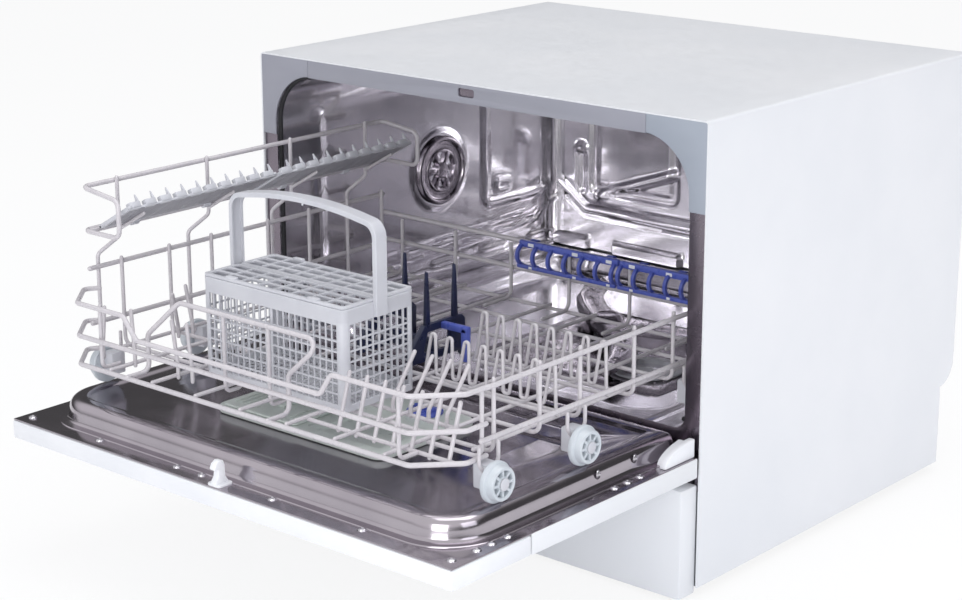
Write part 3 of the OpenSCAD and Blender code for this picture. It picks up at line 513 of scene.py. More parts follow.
class Shape:
    """Collects faces in millimetres and makes one dressed piece of them.

    Methods that add or change faces return the shape, so that calls can be chained.
    """

    def __init__(self) -> None:
        """Start with no faces."""
        self.bm = bmesh.new()

    def loft(self, rings: Sequence[Sequence[Point]], caps: bool = True) -> "Shape":
        """Join rings of equally many points into a skin.

        Args:
            rings: The rings, in order.
            caps: Whether the first and last ring are filled.

        Returns:
            This shape.
        """
        rows = [[self.bm.verts.new(p) for p in ring] for ring in rings]
        count = len(rows[0])
        made = []
        for low, high in zip(rows, rows[1:]):
            for i in range(count):
                j = (i + 1) % count
                made.append(self.bm.faces.new((low[i], low[j], high[j], high[i])))
        if caps:
            made.append(self.bm.faces.new(list(reversed(rows[0]))))
            made.append(self.bm.faces.new(rows[-1]))
            bmesh.ops.recalc_face_normals(self.bm, faces=made)
        return self

    def grid(self, rows: int, columns: int, at: Callable[[float, float], Point], up: Vector) -> "Shape":
        """Lay a sheet of quads.

        Args:
            rows: How many quads it has along its first share.
            columns: How many it has along its second share.
            at: Gives the point for two shares from 0 to 1.
            up: The side that its faces point to.

        Returns:
            This shape.
        """
        points = [[self.bm.verts.new(at(i / rows, j / columns)) for j in range(columns + 1)] for i in range(rows + 1)]
        made = []
        for i in range(rows):
            for j in range(columns):
                corners = (points[i][j], points[i + 1][j], points[i + 1][j + 1], points[i][j + 1])
                made.append(self.bm.faces.new(corners))
        middle = made[len(made) // 2 + columns // 2]
        middle.normal_update()
        if middle.normal.dot(up) < 0:
            bmesh.ops.reverse_faces(self.bm, faces=made)
        return self

    def prism(self, outline: Sequence[Flat], plane: Plane, low: float, high: float, ease: float = 0.0) -> "Shape":
        """Raise a flat outline.

        Args:
            outline: The outline's points.
            plane: The plane it lies in.
            low: Where it starts.
            high: Where it ends.
            ease: The radius of its long edges.

        Returns:
            This shape.
        """
        bottom = [self.bm.verts.new(plane.place(a, b, low)) for a, b in outline]
        top = [self.bm.verts.new(plane.place(a, b, high)) for a, b in outline]
        count = len(outline)
        made = [
            self.bm.faces.new((bottom[i], bottom[(i + 1) % count], top[(i + 1) % count], top[i])) for i in range(count)
        ]
        made += [self.bm.faces.new(list(reversed(bottom))), self.bm.faces.new(top)]
        bmesh.ops.recalc_face_normals(self.bm, faces=made)
        if ease > 0:
            self.soften(made, ease)
        return self

    def soften(self, faces: Iterable[bmesh.types.BMFace], ease: float) -> None:
        """Round the sharp edges between faces.

        Args:
            faces: The faces.
            ease: The radius.
        """
        edges = dict.fromkeys(e for f in faces for e in f.edges)
        sharp = [e for e in edges if len(e.link_faces) == 2 and e.calc_face_angle(0) > math.radians(40)]
        bmesh.ops.bevel(
            self.bm, geom=sharp, offset=ease, segments=2, profile=0.5, affect="EDGES", clamp_overlap=True
        )

    def block(self, low: Point, high: Point, ease: float = 0.6) -> "Shape":
        """Add a block with eased edges between two corners."""
        outline = [(low[0], low[1]), (high[0], low[1]), (high[0], high[1]), (low[0], high[1])]
        return self.prism(outline, Plane.XY, low[2], high[2], ease)

    def lathe(self, profile: Sequence[Flat], at: Point, axis: Plane = Plane.XY, steps: int = 32) -> "Shape":
        """Turn a profile about an axis.

        Args:
            profile: Radius and height pairs. A radius of 0 closes an end.
            at: The axis' foot.
            axis: The plane that the axis stands on.
            steps: How many facets go round.

        Returns:
            This shape.
        """
        made, last = [], None
        for r, h in profile:
            count = 1 if r == 0 else steps
            ring = []
            for i in range(count):
                a = 2 * math.pi * i / steps
                offset = axis.place(r * math.cos(a), r * math.sin(a), h)
                ring.append(self.bm.verts.new([p + q for p, q in zip(at, offset)]))
            if last is not None:
                for i in range(steps):
                    j = (i + 1) % steps
                    corners = [last[i % len(last)], last[j % len(last)], ring[j % len(ring)], ring[i % len(ring)]]
                    unique = list(dict.fromkeys(corners))
                    if len(unique) > 2:
                        made.append(self.bm.faces.new(unique))
            last = ring
        bmesh.ops.recalc_face_normals(self.bm, faces=made)
        return self

    def plate(
        self, outline: Sequence[Flat], holes: Sequence[Sequence[Flat]], plane: Plane, low: float, high: float,
        ease: float = 0.3
    ) -> "Shape":
        """Add a flat plate with holes and eased edges.

        Args:
            outline: Its outline.
            holes: The outlines of its holes.
            plane: The plane that it lies in.
            low: Where it starts.
            high: Where it ends.
            ease: The radius of its edges.

        Returns:
            This shape.
        """
        curve = bpy.data.curves.new("plate", "CURVE")
        curve.dimensions, curve.fill_mode = "2D", "BOTH"
        curve.extrude = (high - low) / 2 - ease
        curve.bevel_depth, curve.bevel_resolution, curve.offset = ease, 1, -ease
        for loop in (outline, *holes):
            spline = curve.splines.new("POLY")
            spline.points.add(len(loop) - 1)
            for point, (a, b) in zip(spline.points, loop):
                point.co = (a, b, 0, 1)
            spline.use_cyclic_u = True
        carrier = linked("plate", curve)
        mesh = evaluated(carrier)
        middle = (low + high) / 2
        for vertex in mesh.vertices:
            vertex.co = plane.place(vertex.co.x, vertex.co.y, middle + vertex.co.z)
        start = len(self.bm.faces)
        self.take(mesh)
        bpy.data.objects.remove(carrier)
        bpy.data.curves.remove(curve)
        self.bm.faces.ensure_lookup_table()
        verts = dict.fromkeys(v for f in self.bm.faces[start:] for v in f.verts)
        bmesh.ops.remove_doubles(self.bm, verts=list(verts), dist=0.001)
        bmesh.ops.recalc_face_normals(self.bm, faces=self.bm.faces[start:])
        return self

    def take(self, mesh: bpy.types.Mesh) -> "Shape":
        """Add a mesh's faces and drop the mesh.

        Args:
            mesh: The mesh, which is gone afterwards.

        Returns:
            This shape.
        """
        self.bm.from_mesh(mesh)
        bpy.data.meshes.remove(mesh)
        return self

    def spent(self, name: str) -> bpy.types.Mesh:
        """Turn all that it holds into a mesh. Nothing can be added after that.

        Args:
            name: The mesh's name.

        Returns:
            The mesh.
        """
        mesh = bpy.data.meshes.new(name)
        self.bm.to_mesh(mesh)
        self.bm.free()
        return mesh

    def join(self, other: "Shape") -> "Shape":
        """Add another shape's faces and use it up."""
        return self.take(other.spent("joined"))

    def wires(self, wires: Sequence[Wire], sides: int = 12, bend_steps: int = 5) -> "Shape":
        """Add bent wires.

        Args:
            wires: The wires.
            sides: How many facets go round each.
            bend_steps: How many pieces each bend has.

        Returns:
            This shape.
        """
        mesh = bpy.data.meshes.new("paths")
        points, edges, thickness, bends = [], [], [], []
        for wire in wires:
            first = len(points)
            points += list(wire.path)
            edges += [(i, i + 1) for i in range(first, len(points) - 1)]
            thickness += [wire.radius] * len(wire.path)
            bends += [wire.bend] * len(wire.path)
        mesh.from_pydata(points, edges, [])
        mesh.attributes.new("thickness", "FLOAT", "POINT").data.foreach_set("value", thickness)
        mesh.attributes.new("bend", "FLOAT", "POINT").data.foreach_set("value", bends)
        return self.take(WIRES.run(mesh, {"Sides": sides, "Bend Steps": bend_steps}))

    def rows(self, shape: "Shape", places: Sequence[Place]) -> "Shape":
        """Add a copy of a shape at each place.

        Args:
            shape: The shape, about its own origin. It is used up.
            places: Where the copies stand.

        Returns:
            This shape.
        """
        pattern = shape.spent("pattern")
        model = linked("pattern", pattern)
        mesh = bpy.data.meshes.new("places")
        mesh.from_pydata([p.at for p in places], [], [])
        turns = [math.radians(v) for p in places for v in p.turn]
        mesh.attributes.new("turn", "FLOAT_VECTOR", "POINT").data.foreach_set("vector", turns)
        stretches = [v for p in places for v in p.stretch]
        mesh.attributes.new("stretch", "FLOAT_VECTOR", "POINT").data.foreach_set("vector", stretches)
        self.take(ROWS.run(mesh, {"Shape": model}))
        bpy.data.objects.remove(model)
        bpy.data.meshes.remove(pattern)
        return self

    def carve(self, cutter: "Shape") -> "Shape":
        """Cut another closed shape out of this one, and use it up.

        Args:
            cutter: The other shape.

        Returns:
            This shape.
        """
        things = [linked(name, shape.spent(name)) for name, shape in (("carved", self), ("cutter", cutter))]
        modifier = things[0].modifiers.new("cut", "BOOLEAN")
        modifier.operation, modifier.solver, modifier.object = "DIFFERENCE", "EXACT", things[1]
        result = evaluated(things[0])
        for thing in things:
            mesh = thing.data
            bpy.data.objects.remove(thing)
            bpy.data.meshes.remove(mesh)
        self.bm = bmesh.new()
        return self.take(result)

    def moved(self, matrix: Matrix) -> "Shape":
        """Move all that it holds so far, and turn faces back out after a mirror.

        Args:
            matrix: The move.

        Returns:
            This shape.
        """
        bmesh.ops.transform(self.bm, matrix=matrix, verts=self.bm.verts)
        if matrix.determinant() < 0:
            bmesh.ops.reverse_faces(self.bm, faces=self.bm.faces)
        return self

    def thicken(self, wall: float) -> "Shape":
        """Give an open sheet a wall behind its faces.

        Args:
            wall: The wall's thickness, behind the side that the faces point to.

        Returns:
            This shape.
        """
        self.bm.normal_update()
        front = list(self.bm.faces)
        twin = {v: self.bm.verts.new(v.co - v.normal * wall) for v in list(self.bm.verts)}
        rims = [e for e in self.bm.edges if len(e.link_faces) == 1]
        for face in front:
            self.bm.faces.new([twin[v] for v in reversed(face.verts)])
        for edge in rims:
            loop = edge.link_loops[0]
            a, b = loop.vert, loop.link_loop_next.vert
            self.bm.faces.new((b, a, twin[a], twin[b]))
        return self

    def piece(
        self, name: str, finish: Finish, body: str, slot: str, replaces: Sequence[str] = (), smooth: float = 35.0
    ) -> bpy.types.Object:
        """Make the object, dress it and set it on its body.

        Args:
            name: The piece's name.
            finish: Its finish.
            body: The body that it rides on.
            slot: The record's material slot; not used.
            replaces: The CAD nodes that it stands for.
            smooth: The angle in degrees up to which edges are shaded smooth.

        Returns:
            The object.
        """
        for vertex in self.bm.verts:
            vertex.co = (vertex.co.x * MM, (vertex.co.y + FRONT_Y) * MM, vertex.co.z * MM)
        mesh = self.spent(name)
        for label in ("thickness", "bend", "turn", "stretch"):
            if label in mesh.attributes:
                mesh.attributes.remove(mesh.attributes[label])
        mesh.materials.clear()
        mesh.materials.append(finish.make())
        mesh.polygons.foreach_set("material_index", [0] * len(mesh.polygons))
        mesh.shade_smooth()
        mesh.set_sharp_from_angle(angle=math.radians(smooth))
        thing = linked(name, mesh)
        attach(thing, getattr(body, "value", body))
        if replaces:
            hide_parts(*replaces)
        log.info("%s: %d faces on %s", name, len(mesh.polygons), getattr(body, "value", body))
        return thing


def dress(finish: Finish, *nodes: str) -> None:
    """Give CAD nodes that stay a finish of their own.

    Args:
        finish: The finish.
        nodes: The nodes' names.
    """
    for node in nodes:
        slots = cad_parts[node].material_slots
        for slot in slots:
            slot.material = finish.make()
        log.info("%s: dressed in %s", node, finish.name)


# ---------- studio ----------


@dataclass
class Studio:
    """The camera, the pale floor and the soft light."""

    image_width: float = 962.0
    focal_pixels: float = 2161.85
    azimuth: float = 40.862
    elevation: float = 16.136
    roll: float = -0.14
    shift_right: float = 13.371
    shift_up: float = 211.241
    distance: float = 2126.765
    side_bottom: float = 9.0
    sensor: float = 36.0
    fill: float = 0.8
    mirrored_levels: tuple[Flat, ...] = ((0.0, 0.1), (0.2, 0.14), (0.42, 0.7), (0.6, 1.0))
    floor_half: float = 4.0
    floor_share: float = 0.85

    def camera(self) -> None:
        """Set the camera where it sees the whole machine from the front right."""
        az, el, roll = (math.radians(v) for v in (self.azimuth, self.elevation, self.roll))
        back = Vector((math.sin(az) * math.cos(el), -math.cos(az) * math.cos(el), math.sin(el)))
        right = Vector((math.cos(az), math.sin(az), 0))
        up = back.cross(right)
        side = math.cos(roll) * right + math.sin(roll) * up
        top = -math.sin(roll) * right + math.cos(roll) * up
        turn = Matrix((side, top, back)).transposed()
        spot = turn @ Vector((self.shift_right, self.shift_up, self.distance))
        spot += Vector((0, FRONT_Y, self.side_bottom))
        data = bpy.data.cameras.new("camera")
        data.sensor_width = self.sensor
        data.lens = self.focal_pixels * self.sensor / self.image_width
        data.clip_end = 50
        camera = linked("camera", data)
        camera.matrix_world = Matrix.Translation(spot * MM) @ turn.to_4x4()
        bpy.context.scene.camera = camera

    def lamp(
        self, name: str, spot: Point, aim: Point, size: float, power: float,
        tint: str = "ffffff", mirrored: bool = True,
    ) -> None:
        """Hang a soft square lamp.

        Args:
            name: Its name.
            spot: Where it hangs, in metres.
            aim: The point that it faces, in metres.
            size: Its side, in metres.
            power: Its power in watts.
            tint: Its colour.
            mirrored: Whether bright metal shows it.
        """
        data = bpy.data.lights.new(name, "AREA")
        data.size, data.energy, data.color = size, power, linear(tint)
        lamp = linked(name, data)
        facing = (Vector(spot) - Vector(aim)).to_track_quat("Z", "Y")
        lamp.matrix_world = Matrix.Translation(spot) @ facing.to_matrix().to_4x4()
        lamp.visible_glossy = mirrored

    def world(self) -> None:
        """Light from all round, white wherever the camera or glass looks past the object, and a grey ramp where metal
        looks, darker low down and towards the back.
        """
        world = bpy.data.worlds.new("studio")
        bpy.context.scene.world = world
        world.use_nodes = True
        kit = Tree(world.node_tree)
        kit.tree.nodes.clear()
        path = kit.add("ShaderNodeLightPath")
        seen = self.any_of(kit, path, ("Is Camera Ray", "Is Transmission Ray"))
        fill = kit.add("ShaderNodeBackground", {0: (*linear("f0f1f4"), 1), 1: self.fill})
        plain = kit.add("ShaderNodeBackground", {0: (1, 1, 1, 1)})
        where = kit.add("ShaderNodeTexCoord")
        split = kit.add("ShaderNodeSeparateXYZ", {0: where.outputs["Generated"]})
        links = {0: split.outputs["Y"], 1: -0.5, 2: split.outputs["Z"]}
        lean = kit.add("ShaderNodeMath", links, operation="MULTIPLY_ADD")
        ramp = kit.add("ShaderNodeValToRGB", {0: lean.outputs[0]})
        for position, level in self.mirrored_levels:
            stop = ramp.color_ramp.elements[0] if position == 0 else ramp.color_ramp.elements.new(position)
            stop.position, stop.color = position, (level, level * 0.985, level, 1)
        glossy = kit.add("ShaderNodeBackground", {0: ramp.outputs[0], 1: 1.0})
        links = {0: path.outputs["Is Glossy Ray"], 1: fill.outputs[0], 2: glossy.outputs[0]}
        mixed = kit.add("ShaderNodeMixShader", links)
        last = kit.add("ShaderNodeMixShader", {0: seen, 1: mixed.outputs[0], 2: plain.outputs[0]})
        kit.add("ShaderNodeOutputWorld", {0: last.outputs[0]})

    @staticmethod
    def any_of(kit: Tree, path: bpy.types.Node, names: Sequence[str]) -> Socket:
        """Give 1 where any of the named kinds of ray looks.

        Args:
            kit: The tree that it is built in.
            path: The tree's Light Path node.
            names: The kinds of ray.

        Returns:
            The value.
        """
        value = path.outputs[names[0]]
        for name in names[1:]:
            value = kit.add("ShaderNodeMath", {0: value, 1: path.outputs[name]}, operation="MAXIMUM").outputs[0]
        return value

    def floor(self) -> None:
        """Lay the pale floor, which keeps the object's shadow."""
        kit = Nodes("floor")
        tint = kit.blend(kit.spread(kit.noise(400), 0, 1), linear("f4f5f7"), linear("f1f2f5"))
        matt = kit.add("ShaderNodeBsdfPrincipled", {"Base Color": tint, "Roughness": 0.75})
        glow = kit.add("ShaderNodeEmission", {"Color": (1, 1, 1, 1), "Strength": 1.0})
        path = kit.add("ShaderNodeLightPath")
        seen = self.any_of(kit, path, ("Is Camera Ray", "Is Glossy Ray", "Is Transmission Ray"))
        share = kit.add("ShaderNodeMath", {0: seen, 1: self.floor_share}, operation="MULTIPLY")
        mixed = kit.add("ShaderNodeMixShader", {0: share.outputs[0], 1: matt.outputs[0], 2: glow.outputs[0]})
        kit.close(mixed.outputs[0])
        mesh = bpy.data.meshes.new("floor")
        half = self.floor_half
        mesh.from_pydata([(-half, -half, 0), (half, -half, 0), (half, half, 0), (-half, half, 0)], [], [(0, 1, 2, 3)])
        mesh.materials.append(kit.material)
        floor = linked("floor", mesh)

    def build(self) -> None:
        """Set up the whole studio."""
        bpy.context.scene.view_settings.view_transform = "Standard"
        self.camera()
        self.world()
        self.floor()
        self.lamp("key", (-1.2, -2.4, 2.2), (0, -0.1, 0.2), 1.4, 5, mirrored=False)
        self.lamp("overhead", (0.2, 0.2, 2.6), (0, 0, 0.3), 2.2, 28)
        self.lamp("right_side", (2.8, -0.4, 1.1), (0, 0, 0.2), 1.6, 13, "f8f9ff")
        self.lamp("front_right", (1.1, -2.3, 0.6), (0.1, -0.1, 0.2), 1.3, 20)


# ---------- cabinet ----------


@dataclass
class Cabinet:
    """The painted casing, its front trims and what stands below it."""

    half: float = 275.0
    top: float = 438.0
    depth: float = 455.0
    bottom: float = 9.0
    sheet: float = 1.5
    fold: float = 3.5
    notch_y: float = 431.0
    notch_z: float = 117.0
    bulge: float = 15.0
    kick_proud: float = 23.0
    kick_top: float = 108.0
    trim_x: float = 208.0
    trim_z: float = 356.0
    trim_t: float = 2.0

    def side_depth_at(self, z: float) -> float:
        """Give how deep a side panel is at a height.

        Args:
            z: The height.

        Returns:
            The depth.
        """
        r = self.depth - self.notch_y
        if z >= self.notch_z:
            return self.depth
        if z <= self.notch_z - r:
            return self.notch_y
        return self.notch_y + math.sqrt(r * r - (self.notch_z - z) ** 2)

    def wrap(self) -> None:
        """Bend the casing's sheet over the top and down both sides."""
        r = self.depth - self.notch_y
        heights = [self.bottom, 50, self.notch_z - r]
        heights += [self.notch_z - r * math.cos(math.radians(a)) for a in range(6, 91, 6)]
        heights += [160, 220, 300, 380]
        side = [(-self.half, z) for z in heights]
        side += arc((-self.half + self.fold, self.top - self.fold), self.fold, 180, 90, 6)
        section = side + [(x, self.top) for x in range(-240, 241, 40)] + [(-x, z) for x, z in reversed(side)]
        count = len(section) - 1

        def at(u: float, v: float) -> Point:
            """Give the sheet's point for two shares."""
            x, z = section[round(u * count)]
            return (x, v * self.side_depth_at(z), z)

        shape = Shape().grid(count, 24, at, Vector((0, 0, 1)))
        bmesh.ops.recalc_face_normals(shape.bm, faces=shape.bm.faces)
        top_face = max(shape.bm.faces, key=lambda f: f.calc_center_median().z)
        if top_face.normal.z < 0:
            bmesh.ops.reverse_faces(shape.bm, faces=shape.bm.faces)
        shape.thicken(self.sheet)
        shape.piece("casing", WHITE_PAINT, Body.CABINET, "white_paint", ["outer_wrap"])

    def back(self) -> None:
        """Press the back panel's bulge and fold it in over the step."""
        y0 = self.depth + self.sheet
        path: list[Flat] = [(self.notch_y + self.sheet, self.bottom + i * 12.0) for i in range(7)]
        r = self.depth - self.notch_y + self.sheet
        path += arc((self.notch_y, self.notch_z), r, -90, 0, 8)
        path += [(y0, z) for z in range(122, 437, 5)] + [(y0, self.top - 1.0)]
        count = len(path) - 1

        def at(u: float, v: float) -> Point:
            """Give the sheet's point.

            Args:
                u: The share of the way along its height.
                v: The share of the way along its width.

            Returns:
                The point.
            """
            y, z = path[round(u * count)]
            x = -self.half + 0.2 + v * 2 * (self.half - 0.2)
            swell = eased(-box_distance(x, z, (-210, 210, 150, 410), 34) / 16)
            levels = (200, 240, 280, 320, 360)
            rib = sum(eased(1 - segment_distance(x, z, (-150, level), (150, level)) / 8) for level in levels)
            return (x, y + (self.bulge - 2.6) * swell + 2.2 * rib, z)

        shape = Shape().grid(count, 110, at, Vector((0, 1, 0)))
        shape.thicken(self.sheet)
        shape.piece("rear_panel", WHITE_PAINT, Body.CABINET, "white_paint", ["back_panel"])

    def rear_screws(self) -> None:
        """Drive the screws that hold the rear panel."""
        head = Shape().lathe([(0, 2.1), (2.2, 2.0), (3.6, 1.2), (4.2, 0)], (0, 0, 0), steps=16)
        spots = [(x, 427.0) for x in (-255, -90, 90, 255)] + [(x, 200.0) for x in (-255, 255)]
        spots += [(x, 130.0) for x in (-255, -85, 85, 255)]
        places = [Place((x, self.depth + self.sheet, z), (-90, 0, 0)) for x, z in spots]
        Shape().rows(head, places).piece("rear_screws", SCREW_STEEL, Body.CABINET, "zinc_steel")

    def kick(self) -> None:
        """Fold the kick panel below the door."""
        x = self.half - 3
        shape = Shape().block((-x, -self.kick_proud, 3), (x, 2, self.kick_top), 2.4)
        shape.piece("kick_board", WHITE_PAINT, Body.CABINET, "white_paint", ["kick_panel"])

    def feet(self) -> None:
        """Set the four turned feet."""
        shape = Shape()
        profile = [(0, 0), (15.5, 0), (18, 2), (18, 6), (16.5, 7.5), (12, 9), (5, 9.4), (5, 24), (0, 24)]
        for x in (-225, 225):
            for y in (34, self.notch_y - 40):
                shape.lathe(profile, (x, y, 0), steps=40)
        shape.piece("turned_feet", DARK_PLASTIC, Body.CABINET, "dark_plastic", ["feet"])

    def trims(self) -> None:
        """Lay the grey strip above the opening and its two corner pieces."""
        top = self.top - self.sheet
        strip = [(-self.trim_x, 419), (self.trim_x, 419), (self.trim_x, top), (-self.trim_x, top)]
        slot = soft_rectangle(-10, 10, 425, 433, [2.5] * 4, 4)
        shape = Shape().plate(strip, [slot], Plane.XZ, 0, self.trim_t, 0.35)
        shape.piece("top_strip", FASCIA_GREY, Body.CABINET, "fascia_grey", ["top_fascia"])
        edge, joint = self.half - self.sheet, self.trim_x + 0.3
        corner = [p for p in arc((204, 368), 52, 90, 0, 16) if p[0] > joint]
        outline = [(joint, top), (joint, 419.6), *corner, (256, self.trim_z), (edge, self.trim_z), (edge, top)]
        # The right trim takes the painted-light copy of the fascia grey, and the left one the plain fascia grey.
        for side, name, finish in ((1, "right", RIGHT_TRIM_LIT_GREY), (-1, "left", FASCIA_GREY)):
            turned = [(side * a, b) for a, b in outline]
            shape = Shape().plate(turned, [], Plane.XZ, 0, self.trim_t, 0.35)
            shape.piece(f"trim_{name}", finish, Body.CABINET, "fascia_grey", [f"corner_trim_{name}"])

    def strike(self) -> None:
        """Seat the pale catch behind the slot in the strip."""
        shape = Shape().block((-7.5, 5.2, 425.6), (-3.2, 12, 432.4), 0.8)
        shape.block((-3.2, 6.8, 425.6), (8.6, 12, 427.8), 0.5).block((2, 6.2, 428.6), (8.8, 12, 431.8), 0.7)
        shape.piece("catch_insert", WHITE_PLASTIC, Body.CABINET, "white_plastic")
        dress(DARK_PLASTIC, "latch_strike")

    def build(self) -> None:
        """Make the cabinet's pieces and dress what lies under it."""
        self.wrap()
        self.back()
        self.rear_screws()
        self.kick()
        self.feet()
        self.trims()
        self.strike()
        dress(ZINC, "base_tray", "hinge_arms", "hinge_springs", "heater")
        dress(DARK_PLASTIC, "sump", "wash_pump", "drain_pump")
        dress(RUBBER, "hoses", "cable_gland")
        dress(WHITE_PLASTIC, "inlet_valve")
        dress(BOARD, "control_board")


# ---------- wash chamber ----------


@dataclass
class WashChamber:
    """The stainless chamber with its pressed walls, floor, filter and spray arm."""

    half: float = 256.0
    ledge: float = 156.0
    ceiling: float = 420.0
    front: float = 2.0
    back: float = 444.0
    top_r: float = 52.0
    low_r: float = 12.0
    corner: float = 20.0
    basin: float = 138.0
    basin_half: float = 205.0
    basin_y: tuple[float, float] = (20.0, 420.0)
    vent: tuple[float, float] = (246.0, 277.0)
    arm_at: tuple[float, float, float] = (0.0, 220.0, 152.0)
    arm_turn: float = -50.0
    filter_box: tuple[float, ...] = (-73.0, 153.0, 97.0, 303.0)
    cup_at: Flat = (98.0, 160.0)

    def outline(self, inset: float) -> list[Flat]:
        """Give the chamber's section, from its lower left over the ceiling to its lower right.

        Args:
            inset: How far it stands in from the full section.

        Returns:
            The section's points.
        """
        low, high = self.low_r, self.top_r
        x, z0, z1 = self.half, self.ledge, self.ceiling
        points = arc((-x + low, z0 + low), low - inset * 0.5, 270, 180, 4)
        points += [(-x + inset, z) for z in self.steps(z0 + low + 2.5, z1 - high - 2, 80)]
        points += arc((-x + high, z1 - high), high - inset, 180, 90, 16)
        points += [(px, z1 - inset) for px in self.steps(-x + high + 6, x - high - 6, 44)]
        points += arc((x - high, z1 - high), high - inset, 90, 0, 16)
        points += [(x - inset, z) for z in self.steps(z1 - high - 2, z0 + low + 2.5, 80)]
        points += arc((x - low, z0 + low), low - inset * 0.5, 0, -90, 4)
        return points

    @staticmethod
    def steps(start: float, end: float, count: int) -> list[float]:
        """Give evenly spaced values."""
        return [start + (end - start) * i / count for i in range(count + 1)]

    def side_relief(self, y: float, z: float) -> float:
        """Give how far a side wall stands in at a point.

        Args:
            y: The point's depth.
            z: Its height.

        Returns:
            The distance, negative where it stands out.
        """
        panel = box_distance(y, z, (318, 438, 216, 520), 16)
        depth = -2.6 * eased(-panel / 5) * (1 - 0.75 * eased(-(panel + 9) / 5))
        tile = box_distance(y, z, (338, 372, 231, 252), 5)
        depth += 3.4 * eased(-(tile + 0.5) / 4) - 2.2 * eased(-(tile + 7) / 3)
        bead = min(segment_distance(y, z, (150, 186), (412, 197)), segment_distance(y, z, (412, 197), (440, 222)))
        bead = min(bead, segment_distance(y, z, (440, 222), (440, 420)))
        depth += 1.4 * eased(1 - bead / 6) - 2.2 * eased(1 - abs(bead - 7) / 3.5)
        for low, high in ((60, 105), (145, 190), (230, 276), (316, 363), (400, 440)):
            depth += 1.3 * eased(-box_distance(y, z, (low, high, 120, 174), 3) / 2.5)
        ring = math.hypot(y - self.vent[0], z - self.vent[1])
        depth -= 2.2 * eased((47 - ring) / 5)
        rib = abs(y - 60)
        depth -= 2.4 * eased(1 - rib / 12) * eased((z - 206) / 10)
        return depth

    def back_relief(self, x: float, z: float) -> float:
        """Give how far the back wall stands forward at a point.

        Args:
            x: The point's place across the wall.
            z: Its height.

        Returns:
            The distance, negative where it is pressed back.
        """
        x = -abs(x)
        panel = box_distance(x, z, (-200, -70, 222, 480), 15)
        depth = -3.0 * eased(-panel / 5) * (1 - 0.6 * eased(-(panel + 10) / 6))
        ridge = segment_distance(x, z, (-184, 224), (-78, 262))
        depth += 4.5 * eased(1 - ridge / 9)
        groove = box_distance(x, z, (-219, -203, 220, 282), 8)
        depth -= 5.0 * eased(-groove / 5)
        cap = box_distance(x, z, (-221, -201, 268, 284), 7)
        depth += 5.5 * eased(-cap / 4)
        curve = min(segment_distance(x, z, (-244, 232), (-204, 204)), segment_distance(x, z, (-204, 204), (0, 202)))
        depth += 2.2 * eased(1 - curve / 6) - 2.0 * eased(1 - abs(curve - 7) / 4)
        for low, high in ((-250, -196), (-162, -64), (-40, 0)):
            depth += 7.0 * eased(-box_distance(x, z, (low, high, 120, 172), 3) / 3)
        return depth

    def walls(self) -> None:
        """Press the sides, the ceiling and the round edges towards the back."""
        flat = self.back - self.corner
        depths = [(self.front, 0.0)] + [(y, 0.0) for y in self.steps(6, flat, 110)]
        for i in range(1, 9):
            a = math.radians(90 * i / 8)
            depths.append((flat + self.corner * math.sin(a), self.corner * (1 - math.cos(a))))
        sections = [self.outline(inset) for _, inset in depths]
        count = len(sections[0]) - 1

        def at(u: float, v: float) -> Point:
            """Give the sheet's point.

            Args:
                u: The share of the way along its section.
                v: The share of the way along its depth.

            Returns:
                The point.
            """
            row = round(v * (len(depths) - 1))
            y, inset = depths[row]
            x, z = sections[row][round(u * count)]
            if abs(x) > self.half - inset - 0.01 and inset < 0.5 * self.corner:
                x -= math.copysign(max(self.side_relief(y, z), -2.9), x)
            return (x, y, z)

        shape = Shape().grid(count, len(depths) - 1, at, Vector((0, 0, -1)))
        # The walls take the painted-light, near-white copy of the stainless.
        shape.piece("chamber_walls", TUB_STEEL_LIT, Body.CABINET, "stainless", ["tub_shell"], 50)

    def rear_wall(self) -> None:
        """Press the chamber's rear wall."""
        x, z0, z1 = self.half - 4, 158, self.ceiling - 4

        def at(u: float, v: float) -> Point:
            """Give the sheet's point for two shares."""
            px, pz = -x + 2 * x * v, z0 + (z1 - z0) * u
            return (px, self.back + 0.15 - self.back_relief(px, pz), pz)

        shape = Shape().grid(104, 200, at, Vector((0, -1, 0)))
        # The rear wall takes the painted-light, near-white copy of the stainless.
        shape.piece("chamber_rear", TUB_STEEL_LIT, Body.CABINET, "stainless", (), 50)

    def ground(self) -> None:
        """Press the floor with its ledges and basin, a groove along each ledge and a shallow dip."""

        def at(u: float, v: float) -> Point:
            """Give the sheet's point.

            Args:
                u: The share of the way along its depth.
                v: The share of the way along its width.

            Returns:
                The point.
            """
            x, y = -self.half + 1 + 2 * (self.half - 1) * v, self.front + (self.back - self.front) * u
            basin = box_distance(x, y, (-self.basin_half, self.basin_half, *self.basin_y), 34)
            z = self.ledge + 0.1 - (self.ledge - self.basin - 0.5) * eased((-basin + 2) / 12)
            groove = abs(abs(x) - 218)
            z -= 1.6 * eased(1 - groove / 4)
            fall = math.hypot(x - 40, y - 200)
            return (x, y, z - 0.9 * eased((160 - fall) / 150))

        shape = Shape().grid(150, 170, at, Vector((0, 0, 1)))
        # The floor takes the painted-light, near-white copy of the stainless.
        shape.piece("chamber_floor", TUB_STEEL_LIT, Body.CABINET, "stainless", (), 50)

    def flanges(self) -> None:
        """Fold the sheet that frames the opening."""
        outer, top, y0, y1 = 273.3, 436.0, 2.0, 3.6
        hole = soft_rectangle(-self.half, self.half, self.ledge, self.ceiling, [self.top_r, self.top_r, 12, 12], 16)
        outline = [(-outer, 100), (outer, 100), (outer, top), (-outer, top)]
        shape = Shape().plate(outline, [hole], Plane.XZ, y0, y1, 0.4)
        # The frame takes the painted-shade, darker copy of the stainless.
        shape.piece("chamber_frame", FLANGE_STEEL_SHADED, Body.CABINET, "stainless")

